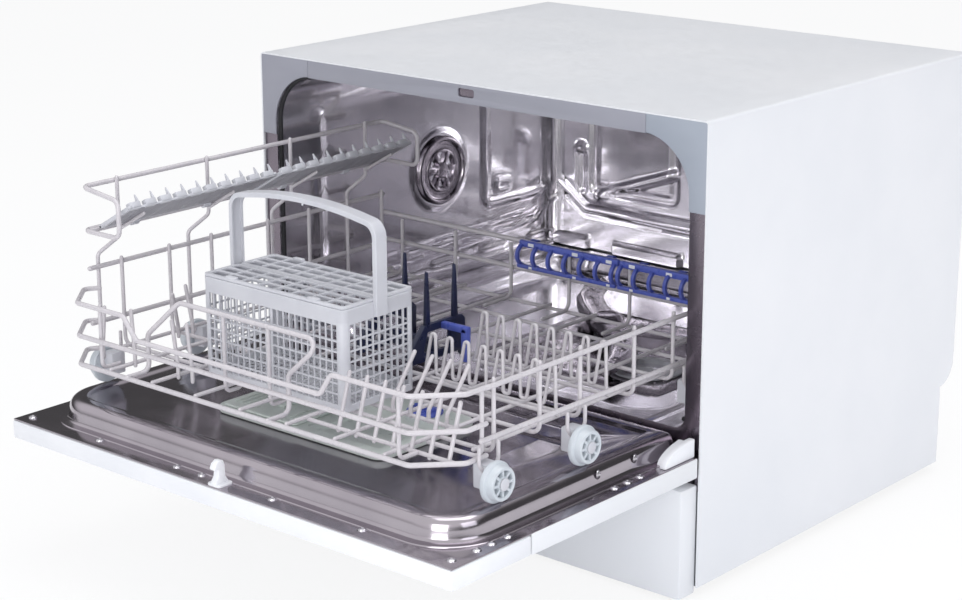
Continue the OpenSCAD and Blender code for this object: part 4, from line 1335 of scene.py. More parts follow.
    def gasket(self) -> None:
        """Run the seal round the opening."""
        loop = soft_rectangle(
            -self.half + 0.4, self.half - 0.4, self.ledge + 8, self.ceiling - 0.4, [51, 51, 4, 4], 16
        )
        path = [(a, 7.0, b) for a, b in loop if b > self.ledge + 7.9]
        start = min(range(len(path)), key=lambda i: (path[i][2], -path[i][0]))
        path = path[start:] + path[:start]
        shape = Shape().wires([Wire(path, 2.2, 0)], 10)
        shape.piece("door_seal", RUBBER, Body.CABINET, "black_rubber", ["tub_gasket"], 60)

    def vent_cap(self) -> None:
        """Turn the vent's cap with its six-pointed grille, over a dark disc of painted shade."""
        y, z = self.vent
        x = -self.half + 2.4
        profile = [
            (38.5, 0.2), (38.5, 3.2), (37.4, 4.6), (35.6, 5.2), (33.8, 4.6), (32.8, 2.8), (31, 2.1), (24.5, 2.3),
            (23.6, 3.4), (22.2, 3.7), (20.8, 3.2), (20.2, -3.5), (0, -3.8),
        ]
        shape = Shape().lathe(profile, (x, y, z), Plane.YZ, 72)
        shape.lathe([(8.6, -3.6), (8.6, 4.2), (7.6, 5.2), (3, 5.6), (0, 5.6)], (x, y, z), Plane.YZ, 24)
        spoke = Shape().prism([(7, -1.4), (21.4, -3.4), (21.4, 3.4), (7, 1.4)], Plane.XY, 0, 6.6, 0.7)
        shape.rows(spoke, [Place((x - 2.6, y, z), self.radial(60 * i)) for i in range(6)])
        shape.piece("vent_grille", STAINLESS, Body.CABINET, "stainless", ["wall_vent_cap"], 40)
        # Painted shade: a dark disc on the recess floor behind the grille stands for the shade inside the vent.
        shade = Shape().lathe([(20.6, -3.6), (20.6, -2.8), (0, -2.8)], (x, y, z), Plane.YZ, 40)
        shade.piece("vent_shade", DARK_PLASTIC, Body.CABINET, "dark_plastic")

    @staticmethod
    def radial(angle: float) -> Point:
        """Give the turn in degrees that lays a spoke along a wall facing +X, at an angle about X."""
        turn = Matrix.Rotation(math.radians(angle), 3, "X") @ Matrix(((0, 0, 1), (1, 0, 0), (0, 1, 0)))
        return tuple(math.degrees(v) for v in turn.to_euler())

    def filter_set(self) -> None:
        """Perforate the fine filter plate and turn the coarse filter."""
        x0, x1, y0, y1 = self.filter_box
        (cx, cy), hub_y, z = self.cup_at, self.arm_at[1], self.basin
        outline = soft_rectangle(x0, x1, y0, y1, [10] * 4, 6)
        hub = soft_rectangle(-14, 14, hub_y - 14, hub_y + 14, [14] * 4, 8)
        well = soft_rectangle(cx - 30.5, cx + 30.5, cy - 30.5, cy + 30.5, [30.4] * 4, 10)
        shape = Shape().plate(outline, [hub, well], Plane.XY, z, z + 1.4, 0.3)
        rim = Shape().lathe([(1.5, 0), (1.2, 0.45), (0.8, 0.5), (0, 0.1)], (0, 0, 0), steps=8)
        places = []
        for i in range(1, 26):
            for j in range(1, 23):
                x, y = x0 + 9 * i - (4.5 if j % 2 else 0) + 2, y0 + 9 * j
                clear = math.hypot(x, y - hub_y) > 19 and math.hypot(x - cx, y - cy) > 38
                if clear and x < x1 - 6:
                    places.append(Place((x, y, z + 1.3)))
        shape.rows(rim, places)
        shape.piece("fine_filter", STAINLESS, Body.CABINET, "stainless", ["filter_plate"], 40)
        profile = [
            (27, -50), (30, -52), (30, 1.5), (35, 1.6), (36, 2.6), (36, 3.8), (34.6, 4.5), (28, 4.5), (27, 3.6),
            (27, -50),
        ]
        cup = Shape().lathe(profile, (cx, cy, z), steps=48)
        cup.block((cx - 28.5, cy - 2, z - 2), (cx + 28.5, cy + 2, z + 4.4), 0.8)
        post = Shape().block((-0.5, -0.5, 0), (0.5, 0.5, 40), 0)
        cup.rows(post, [Place((x, y, z - 44)) for x, y in arc((cx, cy), 28, 0, 345, 23)])
        cup.piece("filter_cup", LIGHT_PLASTIC, "coarse_filter", "light_plastic", ["coarse_filter"], 40)

    def spray_arm(self) -> None:
        """Form the S-shaped arm with its hub and nozzles."""
        shape = Shape()
        reach = 166
        centre = [
            (0, 0, 19.5), (30, 7, 18), (60, 12.5, 16), (93, 14, 14.5), (120, 9, 13), (145, 0, 11), (158, -5, 8.4),
            (reach, -7.5, 3.5),
        ]
        rings = []
        for x, y, w in centre:
            lift = 10 - 2 * x / reach
            ring = [(x, y - w, 2), (x, y - w * 0.82, 0.4), (x, y + w * 0.82, 0.4), (x, y + w, 2)]
            ring += [(x, y + w, 5), (x, y + w * 0.8, lift - 1), (x, y + w * 0.35, lift), (x, y - w * 0.35, lift)]
            ring += [(x, y - w * 0.8, lift - 1), (x, y - w, 5)]
            rings.append(ring)
        for turn in (0, 180):
            shape.join(Shape().loft(rings).moved(Matrix.Rotation(math.radians(turn), 4, "Z")))
        hub = [
            (9.2, -3), (17, -3), (18.5, 0), (18.5, 9), (17.5, 11.6), (14, 13.6), (10.5, 14), (9.6, 13), (6, 12.6),
            (0, 12.6),
        ]
        shape.lathe(hub, (0, 0, 0), steps=40)
        nozzle = Shape().lathe([(4.4, 0), (4, 1.1), (2.2, 1.4), (1.5, 0.9), (0, 0.4)], (0, 0, 0), steps=14)
        spots = ((48, 10), (78, 13.6), (108, 11.6), (136, 3.5), (152, -2.4))
        shape.rows(nozzle, [Place((end * x, end * y, 9.6 - 2 * x / reach)) for end in (1, -1) for x, y in spots])
        shape.moved(Matrix.Translation(self.arm_at) @ Matrix.Rotation(math.radians(self.arm_turn), 4, "Z"))
        shape.piece("spray_blades", STAINLESS, "spray_arm", "stainless", ["spray_arm"], 40)

    def build(self) -> None:
        """Make the chamber's pieces."""
        self.walls()
        self.rear_wall()
        self.ground()
        self.flanges()
        self.gasket()
        self.vent_cap()
        self.filter_set()
        self.spray_arm()


# ---------- door ----------


@dataclass
class Door:
    """The door lying open: its white slab, steel liner, dispenser, catch and hinge covers."""

    half: float = 275.0
    reach: float = 332.0
    under: float = 116.0
    top: float = 134.0
    seam: float = -234.0
    liner_half: float = 253.0
    liner_front: float = -306.0
    liner_back: float = -4.0
    liner_top: float = 156.0
    liner_r: float = 45.0
    dispenser_y: float = -168.0
    dispenser_half: float = 105.0
    dispenser_w: float = 128.0
    button_x: tuple[float, ...] = (-150.0, 96.0, 132.0)
    button_y: float = -270.0

    def slab(self) -> None:
        """Fold the door's outer panel."""
        x, inner = self.half, self.half - 1.5
        shape = Shape().block((-x, self.seam + 0.3, self.under), (x, -3, self.top + 0.6), 1.3)
        shape.carve(Shape().block((-inner, self.seam - 1, self.under + 1.5), (inner, -4.5, self.top + 4), 0))
        slots = Shape()
        for side in (-1, 1):
            low, high = sorted((side * 259, side * 270))
            slots.block((low, -9, self.under + 1.6), (high, 2, self.top + 4), 0)
        shape.carve(slots)
        shape.piece("door_slab", WHITE_PAINT, Body.CABINET, "white_paint", ["door_outer_panel"])

    def control_panel(self) -> None:
        """Mould the control panel with its grip recess, button holes and window."""
        y, z = self.button_y, self.under
        shape = Shape().block((-self.half, -self.reach, z), (self.half, self.seam - 0.3, self.top), 2.2)
        shape.carve(Shape().block((-60, -322, z - 6), (60, -296, z + 10), 2.4))
        holes = Shape()
        for x in self.button_x:
            holes.lathe([(0, -3), (5.3, -3), (5.3, 3.4), (0, 3.4)], (x, y, z), steps=32)
        holes.block((-20.2, y - 14.2, z - 3), (50.2, y + 14.2, z + 2.6), 0)
        shape.carve(holes)
        shape.piece("control_panel_shell", WHITE_PLASTIC, Body.CABINET, "white_plastic", ["control_panel"])
        window = Shape().block((-20, y - 14, z + 0.1), (50, y + 14, z + 2.5), 0.5)
        window.piece("display_pane", SMOKE, Body.CABINET, "smoke_window", ["display_window"])
        profile = [
            (0, -0.75), (2.2, -0.8), (4.2, -1.15), (4.8, -0.9), (5, -0.2), (5, 2.6), (6.4, 2.7), (6.4, 3.4), (0, 3.4)
        ]
        for name, x in zip(("power", "program", "start"), self.button_x):
            button = Shape().lathe(profile, (x, y, z), steps=36)
            button.piece(f"{name}_key", LIGHT_PLASTIC, f"{name}_button", "light_plastic", [f"{name}_button"])

    def liner_ring(self, inset: float, z: float) -> list[Point]:
        """Give the liner's outline.

        Args:
            inset: How far it stands in from the foot.
            z: Its height.

        Returns:
            The outline's points.
        """
        r = max(self.liner_r - inset, 6)
        flat = soft_rectangle(
            -self.liner_half + inset, self.liner_half - inset, self.liner_front + inset, self.liner_back - inset,
            [max(8 - inset, 3), max(8 - inset, 3), r, r], 12,
        )
        return [(x, y, z) for x, y in flat]

    def liner(self) -> None:
        """Press the steel liner's flange, its raised dome and the dome's rim."""
        z0, x, y = self.top, self.half - 1, -self.reach + 1
        shape = Shape().plate([(-x, y), (x, y), (x, -4), (-x, -4)], [], Plane.XY, z0, z0 + 1.3, 0.4)
        profile = (
            (-9.5, 0.5), (-9.2, 1.7), (-8.4, 2.3), (-3.4, 2.5), (-1.6, 2.9), (-0.3, 4.2), (0.2, 6), (0.8, 11),
            (1.4, 14.4), (2.2, 16.8), (3.6, 19), (5.6, 20.7), (8.4, 21.8), (11.5, 22), (17, 22), (18.6, 21.7),
            (20.6, 20.6), (22, 20), (24.5, 19.8), (60, 19.9), (84, 20.1),
        )
        dome = Shape().loft([self.liner_ring(inset, z0 + rise) for inset, rise in profile])
        trenches = Shape()
        for middle in (-92, -56):
            trenches.block((-205, middle - 7, z0 + 18.6), (205, middle + 7, z0 + 30), 5)
        side, middle = self.dispenser_half - 6.8, self.dispenser_y
        well = Shape().block((-side, middle - 58.2, z0 - 8), (side, middle + 58.2, z0 + 40), 0)
        shape.join(dome.carve(trenches).carve(well))
        shape.piece("liner_pressing", STAINLESS, Body.CABINET, "stainless", ["door_liner"], 30)

    def screws(self) -> None:
        """Drive the cross-headed screws round the flange and into the dome's sides."""
        head = Shape()
        head.lathe([(0, 0.9), (0.8, 0.9), (1.5, 1.9), (2.8, 1.7), (3.9, 1.0), (4.3, 0)], (0, 0, 0), steps=18)
        for dx, dy in ((1.7, 0.4), (0.4, 1.7)):
            head.block((-dx, -dy, 0.8), (dx, dy, 1.25), 0)
        z = self.top + 1.2
        spots = [(x, -318) for x in (-262, -165, -60, -28, 60, 165, 262)]
        spots += [(264, y) for y in (-290, -272, -252, -110, -92, -74)] + [(-264, y) for y in (-252, -97)]
        places = [Place((x, y, z), (0, 0, 17 * i)) for i, (x, y) in enumerate(spots)]
        for side in (1, -1):
            places += [Place((side * (self.liner_half - 1.3), y, 147), (0, side * 90, 20)) for y in (-118, -66)]
        Shape().rows(head, places).piece("liner_screws", SCREW_STEEL, Body.CABINET, "zinc_steel", ["door_screws"])

    def dispenser(self) -> None:
        """Mould the detergent dispenser with its bay, sliding lid and rinse cap."""
        y, w, h = self.dispenser_y, self.dispenser_w / 2, self.dispenser_half
        top = self.liner_top + 5
        bay = y - w + 8
        body = Shape().block((-h + 7, y - 58, 124), (h - 7, y + 58, self.liner_top + 1), 1)
        rim = soft_rectangle(-h, h, y - w, y + w, [12] * 4, 6)
        body.prism(rim, Plane.XY, self.liner_top - 1.6, top, 1.8)
        body.carve(Shape().block((-92, bay, 128), (-8, bay + 72, top + 6), 4))
        cap_y = y + w - 20
        body.carve(Shape().lathe([(0, -30), (13, -30), (13, 6), (0, 6)], (58, cap_y, top), steps=40))
        body.carve(Shape().block((14, y - w + 12, top - 3), (92, y + 10, top + 6), 2.6))
        body.piece("dispenser_case", DISPENSER, Body.CABINET, "dispenser_plastic", ["dispenser_body"])
        z = top + 0.3
        lid = Shape().prism(soft_rectangle(-98, -4, bay - 4, bay + 76, [5] * 4, 5), Plane.XY, z, z + 2.4, 0.7)
        lid.block((-60, bay + 20, z + 2.2), (-42, bay + 50, z + 5), 1.1)
        rib = Shape().block((-1, -30, 0), (1, 30, 1.1), 0.4)
        lid.rows(rib, [Place((x, bay + 36, z + 2.2)) for x in (-90, -84, -78, -20, -14)])
        lid.piece("bay_lid", DISPENSER, "dispenser_lid", "dispenser_plastic", ["dispenser_lid"])
        profile = [(12.9, -10), (12.95, 0.2), (17, 0.35), (17.2, 1.2), (16.6, 2.8), (15.2, 3.3), (0, 3.3)]
        cap = Shape().lathe(profile, (58, cap_y, top), steps=48)
        cap.block((46, cap_y - 1.6, top + 3), (70, cap_y + 1.6, top + 7), 1)
        cap.piece("rinse_aid_cap", BLUE_PLASTIC, "rinse_cap", "blue_plastic", ["rinse_cap"])

    def catch(self) -> None:
        """Mould the upright catch at the door's free end."""
        z = self.top + 1.2
        outline = (
            (-330.5, 0), (-315, 0), (-315.6, 3.6), (-318.4, 8), (-318.8, 18), (-320.4, 22.4), (-324.4, 23),
            (-328.6, 20.4), (-330.6, 16.4), (-330.2, 14.6), (-326.6, 15), (-325.8, 13), (-326.6, 8), (-329.8, 3.6),
        )
        shape = Shape().prism([(y, z + rise) for y, rise in outline], Plane.YZ, -3.6, 3.6, 1.0)
        shape.prism(soft_rectangle(-8, 8, -330.5, -313.5, [3] * 4, 4), Plane.XY, z - 0.2, z + 2.2, 0.6)
        shape.piece("catch_hook", WHITE_PLASTIC, Body.CABINET, "white_plastic", ["latch_hook"])

    def hinge_covers(self) -> None:
        """Mould the white quarter discs that cover the hinges."""
        z = self.top + 1.4
        shape = Shape()
        curve = [(-4 - 44 * math.cos(math.radians(a)), z + 17.5 * math.sin(math.radians(a))) for a in range(0, 91, 9)]
        outline = [(-4, z), *curve]
        inner = [(-6, z), *[(y + 5 if y < -12 else y, b - 1.4) for y, b in curve[:-1]], (-6, z + 14)]
        for side in (-1, 1):
            low, high = sorted((side * 265.5, side * 272))
            shape.prism(outline, Plane.YZ, low, high, 1.2)
            low, high = sorted((side * 258.5, side * 266))
            shape.prism(inner, Plane.YZ, low, high, 0.8)
        shape.piece("hinge_shrouds", WHITE_PLASTIC, Body.CABINET, "white_plastic", ["hinge_covers"])

    def build(self) -> None:
        """Make the door's pieces."""
        self.slab()
        self.control_panel()
        self.liner()
        self.screws()
        self.dispenser()
        self.catch()
        self.hinge_covers()


# ---------- rack ----------


WHEEL_Y = {"front": -242.0, "middle": -128.0, "rear": 40.0}
AXLE_Z = 174.3


@dataclass
class Rack:
    """The coated wire rack, its cup shelf and its wheel clips."""

    half: float = 231.0
    front: float = -298.0
    rear: float = 130.0
    floor_z: float = 194.5
    mid_z: float = 221.0
    top_z: float = 252.0
    low_side_z: float = 208.0
    left_top_z: float = 274.0
    rear_top_z: float = 255.0
    rear_mid_z: float = 226.0
    shelf_top_z: float = 353.0
    shelf_low_z: float = 312.0
    shelf_w: float = 50.0
    chamfer: tuple[float, float] = (32.0, 34.0)
    frame_r: float = 2.3
    post_r: float = 1.9
    pivot_r: float = 2.45
    bend: float = 9.0
    pitch: float = 57.0
    rod_pitch: float = 20.7
    rear_x: tuple[float, ...] = (-200.0, -125.0, -50.0, 25.0, 100.0, 175.0)
    cross_y: tuple[float, ...] = (-229.0, -170.0, -116.0, -40.0, 18.0, 74.0, 126.0)
    shelf_y: tuple[float, ...] = (-232.0, -120.0, -8.0, 100.0)
    joggle: float = 20.0
    dip_x: tuple[float, ...] = (-148.0, -131.0, 100.0, 113.0)
    loop_x: tuple[float, float] = (-146.0, 36.0)
    loop_lean: tuple[float, float] = (31.0, 12.0)
    tall_y: float = -206.0
    tall_x: float = 96.0
    tray_x: float = 6.0
    tray_tilt: float = 30.0
    prop_r: float = 1.7
    clip_x: float = 238.0
    loop_wire_x: float = 235.6

    def rim(self, z: float, middle: Sequence[Point] = ()) -> list[Point]:
        """Give the path of a front wire that wraps round both ends of the rack.

        Args:
            z: The wire's height.
            middle: Points that it passes between its two front corners.

        Returns:
            The path's points.
        """
        x, y = self.half, self.front
        cut_x, cut_y = self.chamfer
        left = [(-x - 5, y + cut_y + 12, z), (-x - 13, y + cut_y, z), (-x + 19, y, z)]
        return left + list(middle) + [(x - cut_x, y, z), (x, y + cut_y, z), (x, y + cut_y + 24, z)]

    @staticmethod
    def coat(name: str, wires: Sequence[Wire], *replaces: str) -> None:
        """Make one coated piece of a set of wires."""
        Shape().wires(wires).piece(name, WIRE_COAT, Body.RACK, "wire_coat", replaces, 60)

    def rod(self, *path: Point, bend: float = 0.0) -> Wire:
        """Give a thin wire."""
        return Wire(path, self.post_r, bend)

    def floor(self) -> None:
        """Bend the floor's cross wires up into the posts on both sides, over the lengthwise ones."""
        wires = []
        low, high, out = self.floor_z - 1.6, self.floor_z + 1.4, self.half - 1.2
        for y in self.cross_y:
            path = ((-out, y, self.left_top_z + 4), (-out, y, low), (out, y, low), (out, y, self.top_z + 4))
            wires.append(self.rod(*path, bend=self.bend))
        starts = [(i * self.pitch, self.front + 2) for i in range(-3, 4)]
        starts += [(x, self.cross_y[0] - 12) for x in (-218, 218)]
        wires += [self.rod((x, y, high), (x, self.rear - 2, high)) for x, y in starts]
        self.coat("floor_wires", wires, "rack_floor")

    def front_wires(self) -> None:
        """Bend the three front wires, the retainer loop and the rods behind them."""
        y, top, low = self.front, self.top_z, self.floor_z
        dip, d = top - 20, self.dip_x
        wires = [Wire(self.rim(z), self.frame_r, 7) for z in (low - 1, self.mid_z)]
        dipped = self.rim(top, [(d[0], y, top), (d[1], y, dip), (d[2], y, dip), (d[3], y, top)])
        wires.append(Wire(dipped, self.frame_r, 7))
        wires += [self.rod((x, y + 4, top + 1), (x, y + 4, low), (x, y + 24, low), bend=6) for x in (-185, 185)]
        (lx0, lx1), (lean_x, lean_y) = self.loop_x, self.loop_lean
        ly, crest = y + 26, top + 10
        loop = [(lx0, y, low), (lx0, ly, low), (lx0, ly, self.mid_z + 8), (lx0 + lean_x, ly + lean_y, crest)]
        loop += [(lx1 + lean_x, ly + lean_y, crest), (lx1, ly, self.mid_z + 8), (lx1, ly, low), (lx1, y, low)]
        wires.append(Wire(loop, self.frame_r, 8))
        post = ly + lean_y
        for x in (-self.pitch, 0):
            path = ((x, post, crest), (x, post, low - 4), (x, post + 16, low - 4), (x, post + 22, low + 1))
            wires.append(self.rod(*path, bend=6))
        rod_y, tall_y = y + 28, self.tall_y
        wires.append(self.rod((self.pitch, rod_y, low - 1), (self.half - 8, rod_y, low - 1)))
        wires.append(self.rod((self.pitch, tall_y, low - 1), (3 * self.pitch, tall_y, low - 1)))
        for i in range(7):
            x = self.half - 14 - i * self.rod_pitch
            wires.append(self.rod((x, rod_y, low - 3), (x, rod_y + 15, low + 45)))
        for i in range(4):
            x = self.tall_x + i * self.rod_pitch
            wires.append(self.rod((x, tall_y, low - 2), (x, tall_y, low + 8), (x + 2, tall_y + 26, low + 46), bend=6))
        short = (
            ((-170, -268), (-186, -257)), ((-213, -270), (-213, -266)), ((-113, -266), (-132, -255)),
            ((-94, -266), (-113, -254)), ((-209, -181), (-198, -196)), ((-203, -168), (-211, -168)),
        )
        for (x0, y0), (x1, y1) in short:
            wires.append(self.rod((x0, y0, low - 1), (x0, y0, low + 9), (x1, y1, low + 46), bend=6))
        self.coat("front_wires", wires, "rack_front")

    def right_wires(self) -> None:
        """Run the right side's rails from the front corner to the rear."""
        x, end, low = self.half + 1.6, self.rear, self.floor_z - 2
        px, py = self.half - 1, self.front + 54
        wires = [
            Wire([(self.half, py - 8, self.top_z), (x, py + 14, self.top_z), (x, end, self.top_z)], self.frame_r, 20),
            Wire([(x, py - 4, self.low_side_z), (x, end, self.low_side_z)], self.frame_r, 0),
            self.rod((px, py, self.top_z), (px, py, low), (3 * self.pitch, py, low), bend=self.bend),
        ]
        self.coat("right_rails", wires, "rack_right")

    def rear_wires(self) -> None:
        """Run the rear rails with their uprights."""
        x, y, top, low = self.half + 1, self.rear, self.rear_top_z, self.floor_z + 1
        rails = ((top, self.pivot_r), (self.rear_mid_z, self.frame_r))
        wires = [Wire([(-x, y, z), (x, y, z)], radius, 0) for z, radius in rails]
        for px in self.rear_x:
            wires.append(self.rod((px, y - 4.1, top - 4), (px, y - 4.1, low), (px, y - 46, low), bend=self.bend))
        self.coat("rear_wires", wires, "rack_rear")

    def left_wires(self) -> None:
        """Run the left rail and bend the cup shelf's frame over it."""
        x, y1 = -self.half, self.rear
        corner = self.front + self.chamfer[1]
        y0 = corner - 6
        inner = x + self.shelf_w
        low, high = self.shelf_low_z, self.shelf_top_z
        rails = (self.left_top_z, self.mid_z)
        wires = [Wire([(x - 1.4, corner - 1, z), (x - 1.4, y1 + 1, z)], self.frame_r, 0) for z in rails]
        for y in self.shelf_y:
            below = y - self.joggle
            path = ((x - 5, below, self.floor_z - 2), (x - 5, below, 285), (x + 3.6, y, 300), (x + 3.6, y, high + 3))
            wires += [self.rod(*path, bend=7), Wire(self.strut(y), self.prop_r, 4)]
        shelf = [
            (x, self.shelf_y[0] + 1, low), (x, y0, low), (inner, y0, low), (inner, y0, high - 6), (x, y0, high),
            (x, y1, high),
        ]
        shelf += [(inner, y1, high - 6), (inner, y1, low), (x, y1, low), (x, self.shelf_y[3] - 1, low)]
        wires.append(Wire(shelf, self.frame_r, 8))
        wires.append(Wire([(x + self.tray_x, y0, low), (x + self.tray_x, y1, low)], 2.2, 0))
        self.coat("left_wires", wires, "rack_left")

    def strut(self, y: float) -> list[Point]:
        """Give the path of the prop that a cup tray leans on.

        Args:
            y: The prop's place along the shelf.

        Returns:
            The path's points.
        """
        tilt = math.radians(self.tray_tilt)
        gap = 1.5 + self.prop_r + 0.5
        x0, z0 = -self.half + self.tray_x + gap * math.sin(tilt), self.shelf_low_z - gap * math.cos(tilt)
        return [(x0 + s * math.cos(tilt), y, z0 + s * math.sin(tilt)) for s in (-4, 12, 37)]

    def clips(self) -> None:
        """Mould the clips that hold the wheels' axles, each under a small wire loop."""
        pin = Shape().lathe(
            [(3.95, 0), (3.95, 14.2), (5.5, 14.3), (5.4, 15.1), (4, 15.5), (0, 15.5)], (0, 0, 0), Plane.YZ, 24
        )
        pin.block((-13, -8, -7), (0.8, 8, 15), 1.6)
        ends = ((self.clip_x, 0), (-self.clip_x, 180))
        places = [Place((x, y, AXLE_Z), (0, 0, turn)) for y in WHEEL_Y.values() for x, turn in ends]
        Shape().rows(pin, places).piece("axle_clips", LIGHT_PLASTIC, Body.RACK, "light_plastic", ["wheel_clips"], 40)
        bow = ((-12, 204), (-12, 190), (-5, 181), (5, 181), (12, 190), (12, 204))
        spots = [(x, y) for x in (-self.loop_wire_x, self.loop_wire_x) for y in WHEEL_Y.values()]
        wires = [Wire([(x, y + dy, z) for dy, z in bow], self.prop_r, 5) for x, y in spots]
        self.coat("clip_loops", wires)

    def build(self) -> None:
        """Make the rack's pieces."""
        self.floor()
        self.front_wires()
        self.right_wires()
        self.rear_wires()
        self.left_wires()
        self.clips()


@dataclass
class Wheels:
    """The six flanged wheels with eight spokes each."""

    inner: float = 240.0

    def build(self) -> None:
        """Make every wheel on its own body."""
        profile = [
            (4.06, 0.3), (17, 0.3), (17.9, 1.2), (17.9, 4.4), (17.3, 5.3), (15.6, 5.8), (15.1, 6.8), (14.9, 10.8),
            (14.1, 11.9), (12, 11.9), (11.3, 11.2), (11, 3.2), (6.6, 3.2), (6.5, 11.2), (5.9, 11.9), (5.4, 11.9),
            (5.2, 10.4), (4.06, 10.4), (4.06, 0.3),
        ]
        for side, label in ((1, "right"), (-1, "left")):
            for name, y in WHEEL_Y.items():
                shape = Shape().lathe(profile, (0, 0, 0), Plane.YZ, 48)
                spoke = Shape().prism([(3, -1.2), (11.3, -1.2), (11.3, 1.2), (3, 1.2)], Plane.XY, 6, 12, 0.35)
                shape.rows(spoke, [Place((0, 0, 0), (45 * i, 0, 0)) for i in range(8)])
                if side < 0:
                    shape.moved(Matrix.Scale(-1, 4, (1, 0, 0)))
                shape.moved(Matrix.Translation((side * self.inner, y, AXLE_Z)))
                node = f"wheel_{label}_{name}"
                shape.piece(f"{node}_rim", WHEEL_PLASTIC, node, "wheel_plastic", [node], 40)


@dataclass
class TineRows:
    """The two folding rows of plate tines."""

    rows: dict[str, tuple[float, float]] = field(
        default_factory=lambda: {"front": (-136.0, 42.0), "rear": (-66.0, 46.0)}
    )
    base_z: float = 198.8
    lean: float = 5.0
    first: float = 76.0
    pitch: float = 19.5
    count: int = 8

    def build(self) -> None:
        """Bend each row's wave and its hinge wire."""
        for name, (y, height) in self.rows.items():
            trough, peak = self.base_z + 6.5, self.base_z + height
            wave: list[Point] = [(67, y, self.base_z + 1)]
            for i in range(self.count):
                x = self.first + i * self.pitch
                wave += [
                    (x - 6.6, y + 0.8, trough), (x - 2.3, y + self.lean, peak), (x + 2.3, y + self.lean, peak),
                    (x + 6.6, y + 0.8, trough),
                ]
            wave += [(221, y, self.base_z + 1)]
            rod = [(66, y, self.base_z), (222, y, self.base_z)]
            shape = Shape().wires([Wire(wave, 1.6, 2.6), Wire(rod, 1.9, 0)], 12, 4)
            node = f"tine_row_{name}"
            shape.piece(f"{node}_wave", WIRE_COAT, node, "wire_coat", [node], 60)


@dataclass
class CupTrays:
    """The two slatted cup trays, which tilt on the shelf's rod."""

    hinge: tuple[float, float] = (-225.0, 312.0)
    tilt: float = 30.0
    length: float = 186.0
    width: float = 54.0
    starts: dict[str, float] = field(default_factory=lambda: {"front": -260.0, "rear": -68.0})
    teeth: int = 9
    slat_pitch: float = 3.75

    def build(self) -> None:
        """Make both trays."""
        for name, start in self.starts.items():
            node = f"cup_tray_{name}"
            place = Matrix.Translation((self.hinge[0], start, self.hinge[1]))
            place @= Matrix.Rotation(math.radians(-self.tilt), 4, "Y")
            # The slats take the painted-shade, darker copy of the tray's pale plastic.
            self.slats().moved(place).piece(f"{node}_slats", TRAY_PLASTIC_SHADED, node, "light_plastic", [node])
            self.edge().moved(place).piece(f"{node}_edge", LIGHT_PLASTIC, node, "light_plastic")

    def slats(self) -> Shape:
        """Lay the lengthwise slats over their cross ribs.

        Returns:
            The slats and ribs.
        """
        shape = Shape()
        slat = Shape().block((-0.75, 3, -1.5), (0.75, self.length - 3, 0.9), 0.3)
        shape.rows(slat, [Place((7.5 + self.slat_pitch * i, 0, 0)) for i in range(12)])
        rib = Shape().block((4, -0.9, -1.5), (self.width - 3, 0.9, 0.2), 0.3)
        pitch = self.length / (self.teeth + 1)
        shape.rows(rib, [Place((0, pitch * i, 0)) for i in range(1, self.teeth + 1)])
        return shape

    def edge(self) -> Shape:
        """Mould the end plates, the hinge rings and the toothed inner edge.

        Returns:
            The tray's frame.
        """
        pitch = self.length / (self.teeth + 1)
        shape = Shape().block((4, 0, -1.5), (self.width, 4.5, 2.4), 0.6)
        shape.block((4, self.length - 4.5, -1.5), (self.width, self.length, 2.4), 0.6)
        shape.block((4, 0, -1.5), (7, self.length, 1.5), 0.5)
        shape.block((self.width - 1.6, 0, -1.5), (self.width, self.length, 0.6), 0.4)
        tooth = Shape().block((self.width - 6, 2.6, -1.5), (self.width, pitch - 3.2, 5.4), 0.7)
        shape.rows(tooth, [Place((0, pitch * i, 0)) for i in range(self.teeth + 1)])
        sections = ((-1.6, 1.6, 1.1, 0), (-1.2, 1.2, 0.9, 4), (-0.6, 0.2, 0.5, 8.6))
        spike = Shape().loft([[(a, -w, z), (b, -w, z), (b, w, z), (a, w, z)] for a, b, w, z in sections])
        shape.rows(spike, [Place((self.width - 2.2, pitch * i + pitch - 4.6, 3.6)) for i in range(self.teeth + 1)])
        ring = Shape().lathe([(2.26, 0), (3.9, 0), (3.9, 8), (2.26, 8), (2.26, 0)], (0, 0, 0), Plane.XZ, 24)
        ring.block((2.6, 0, -1.4), (7, 8, 1.4), 0.4)
        shape.rows(ring, [Place((0, y, 0)) for y in (40, 130)])
        return shape


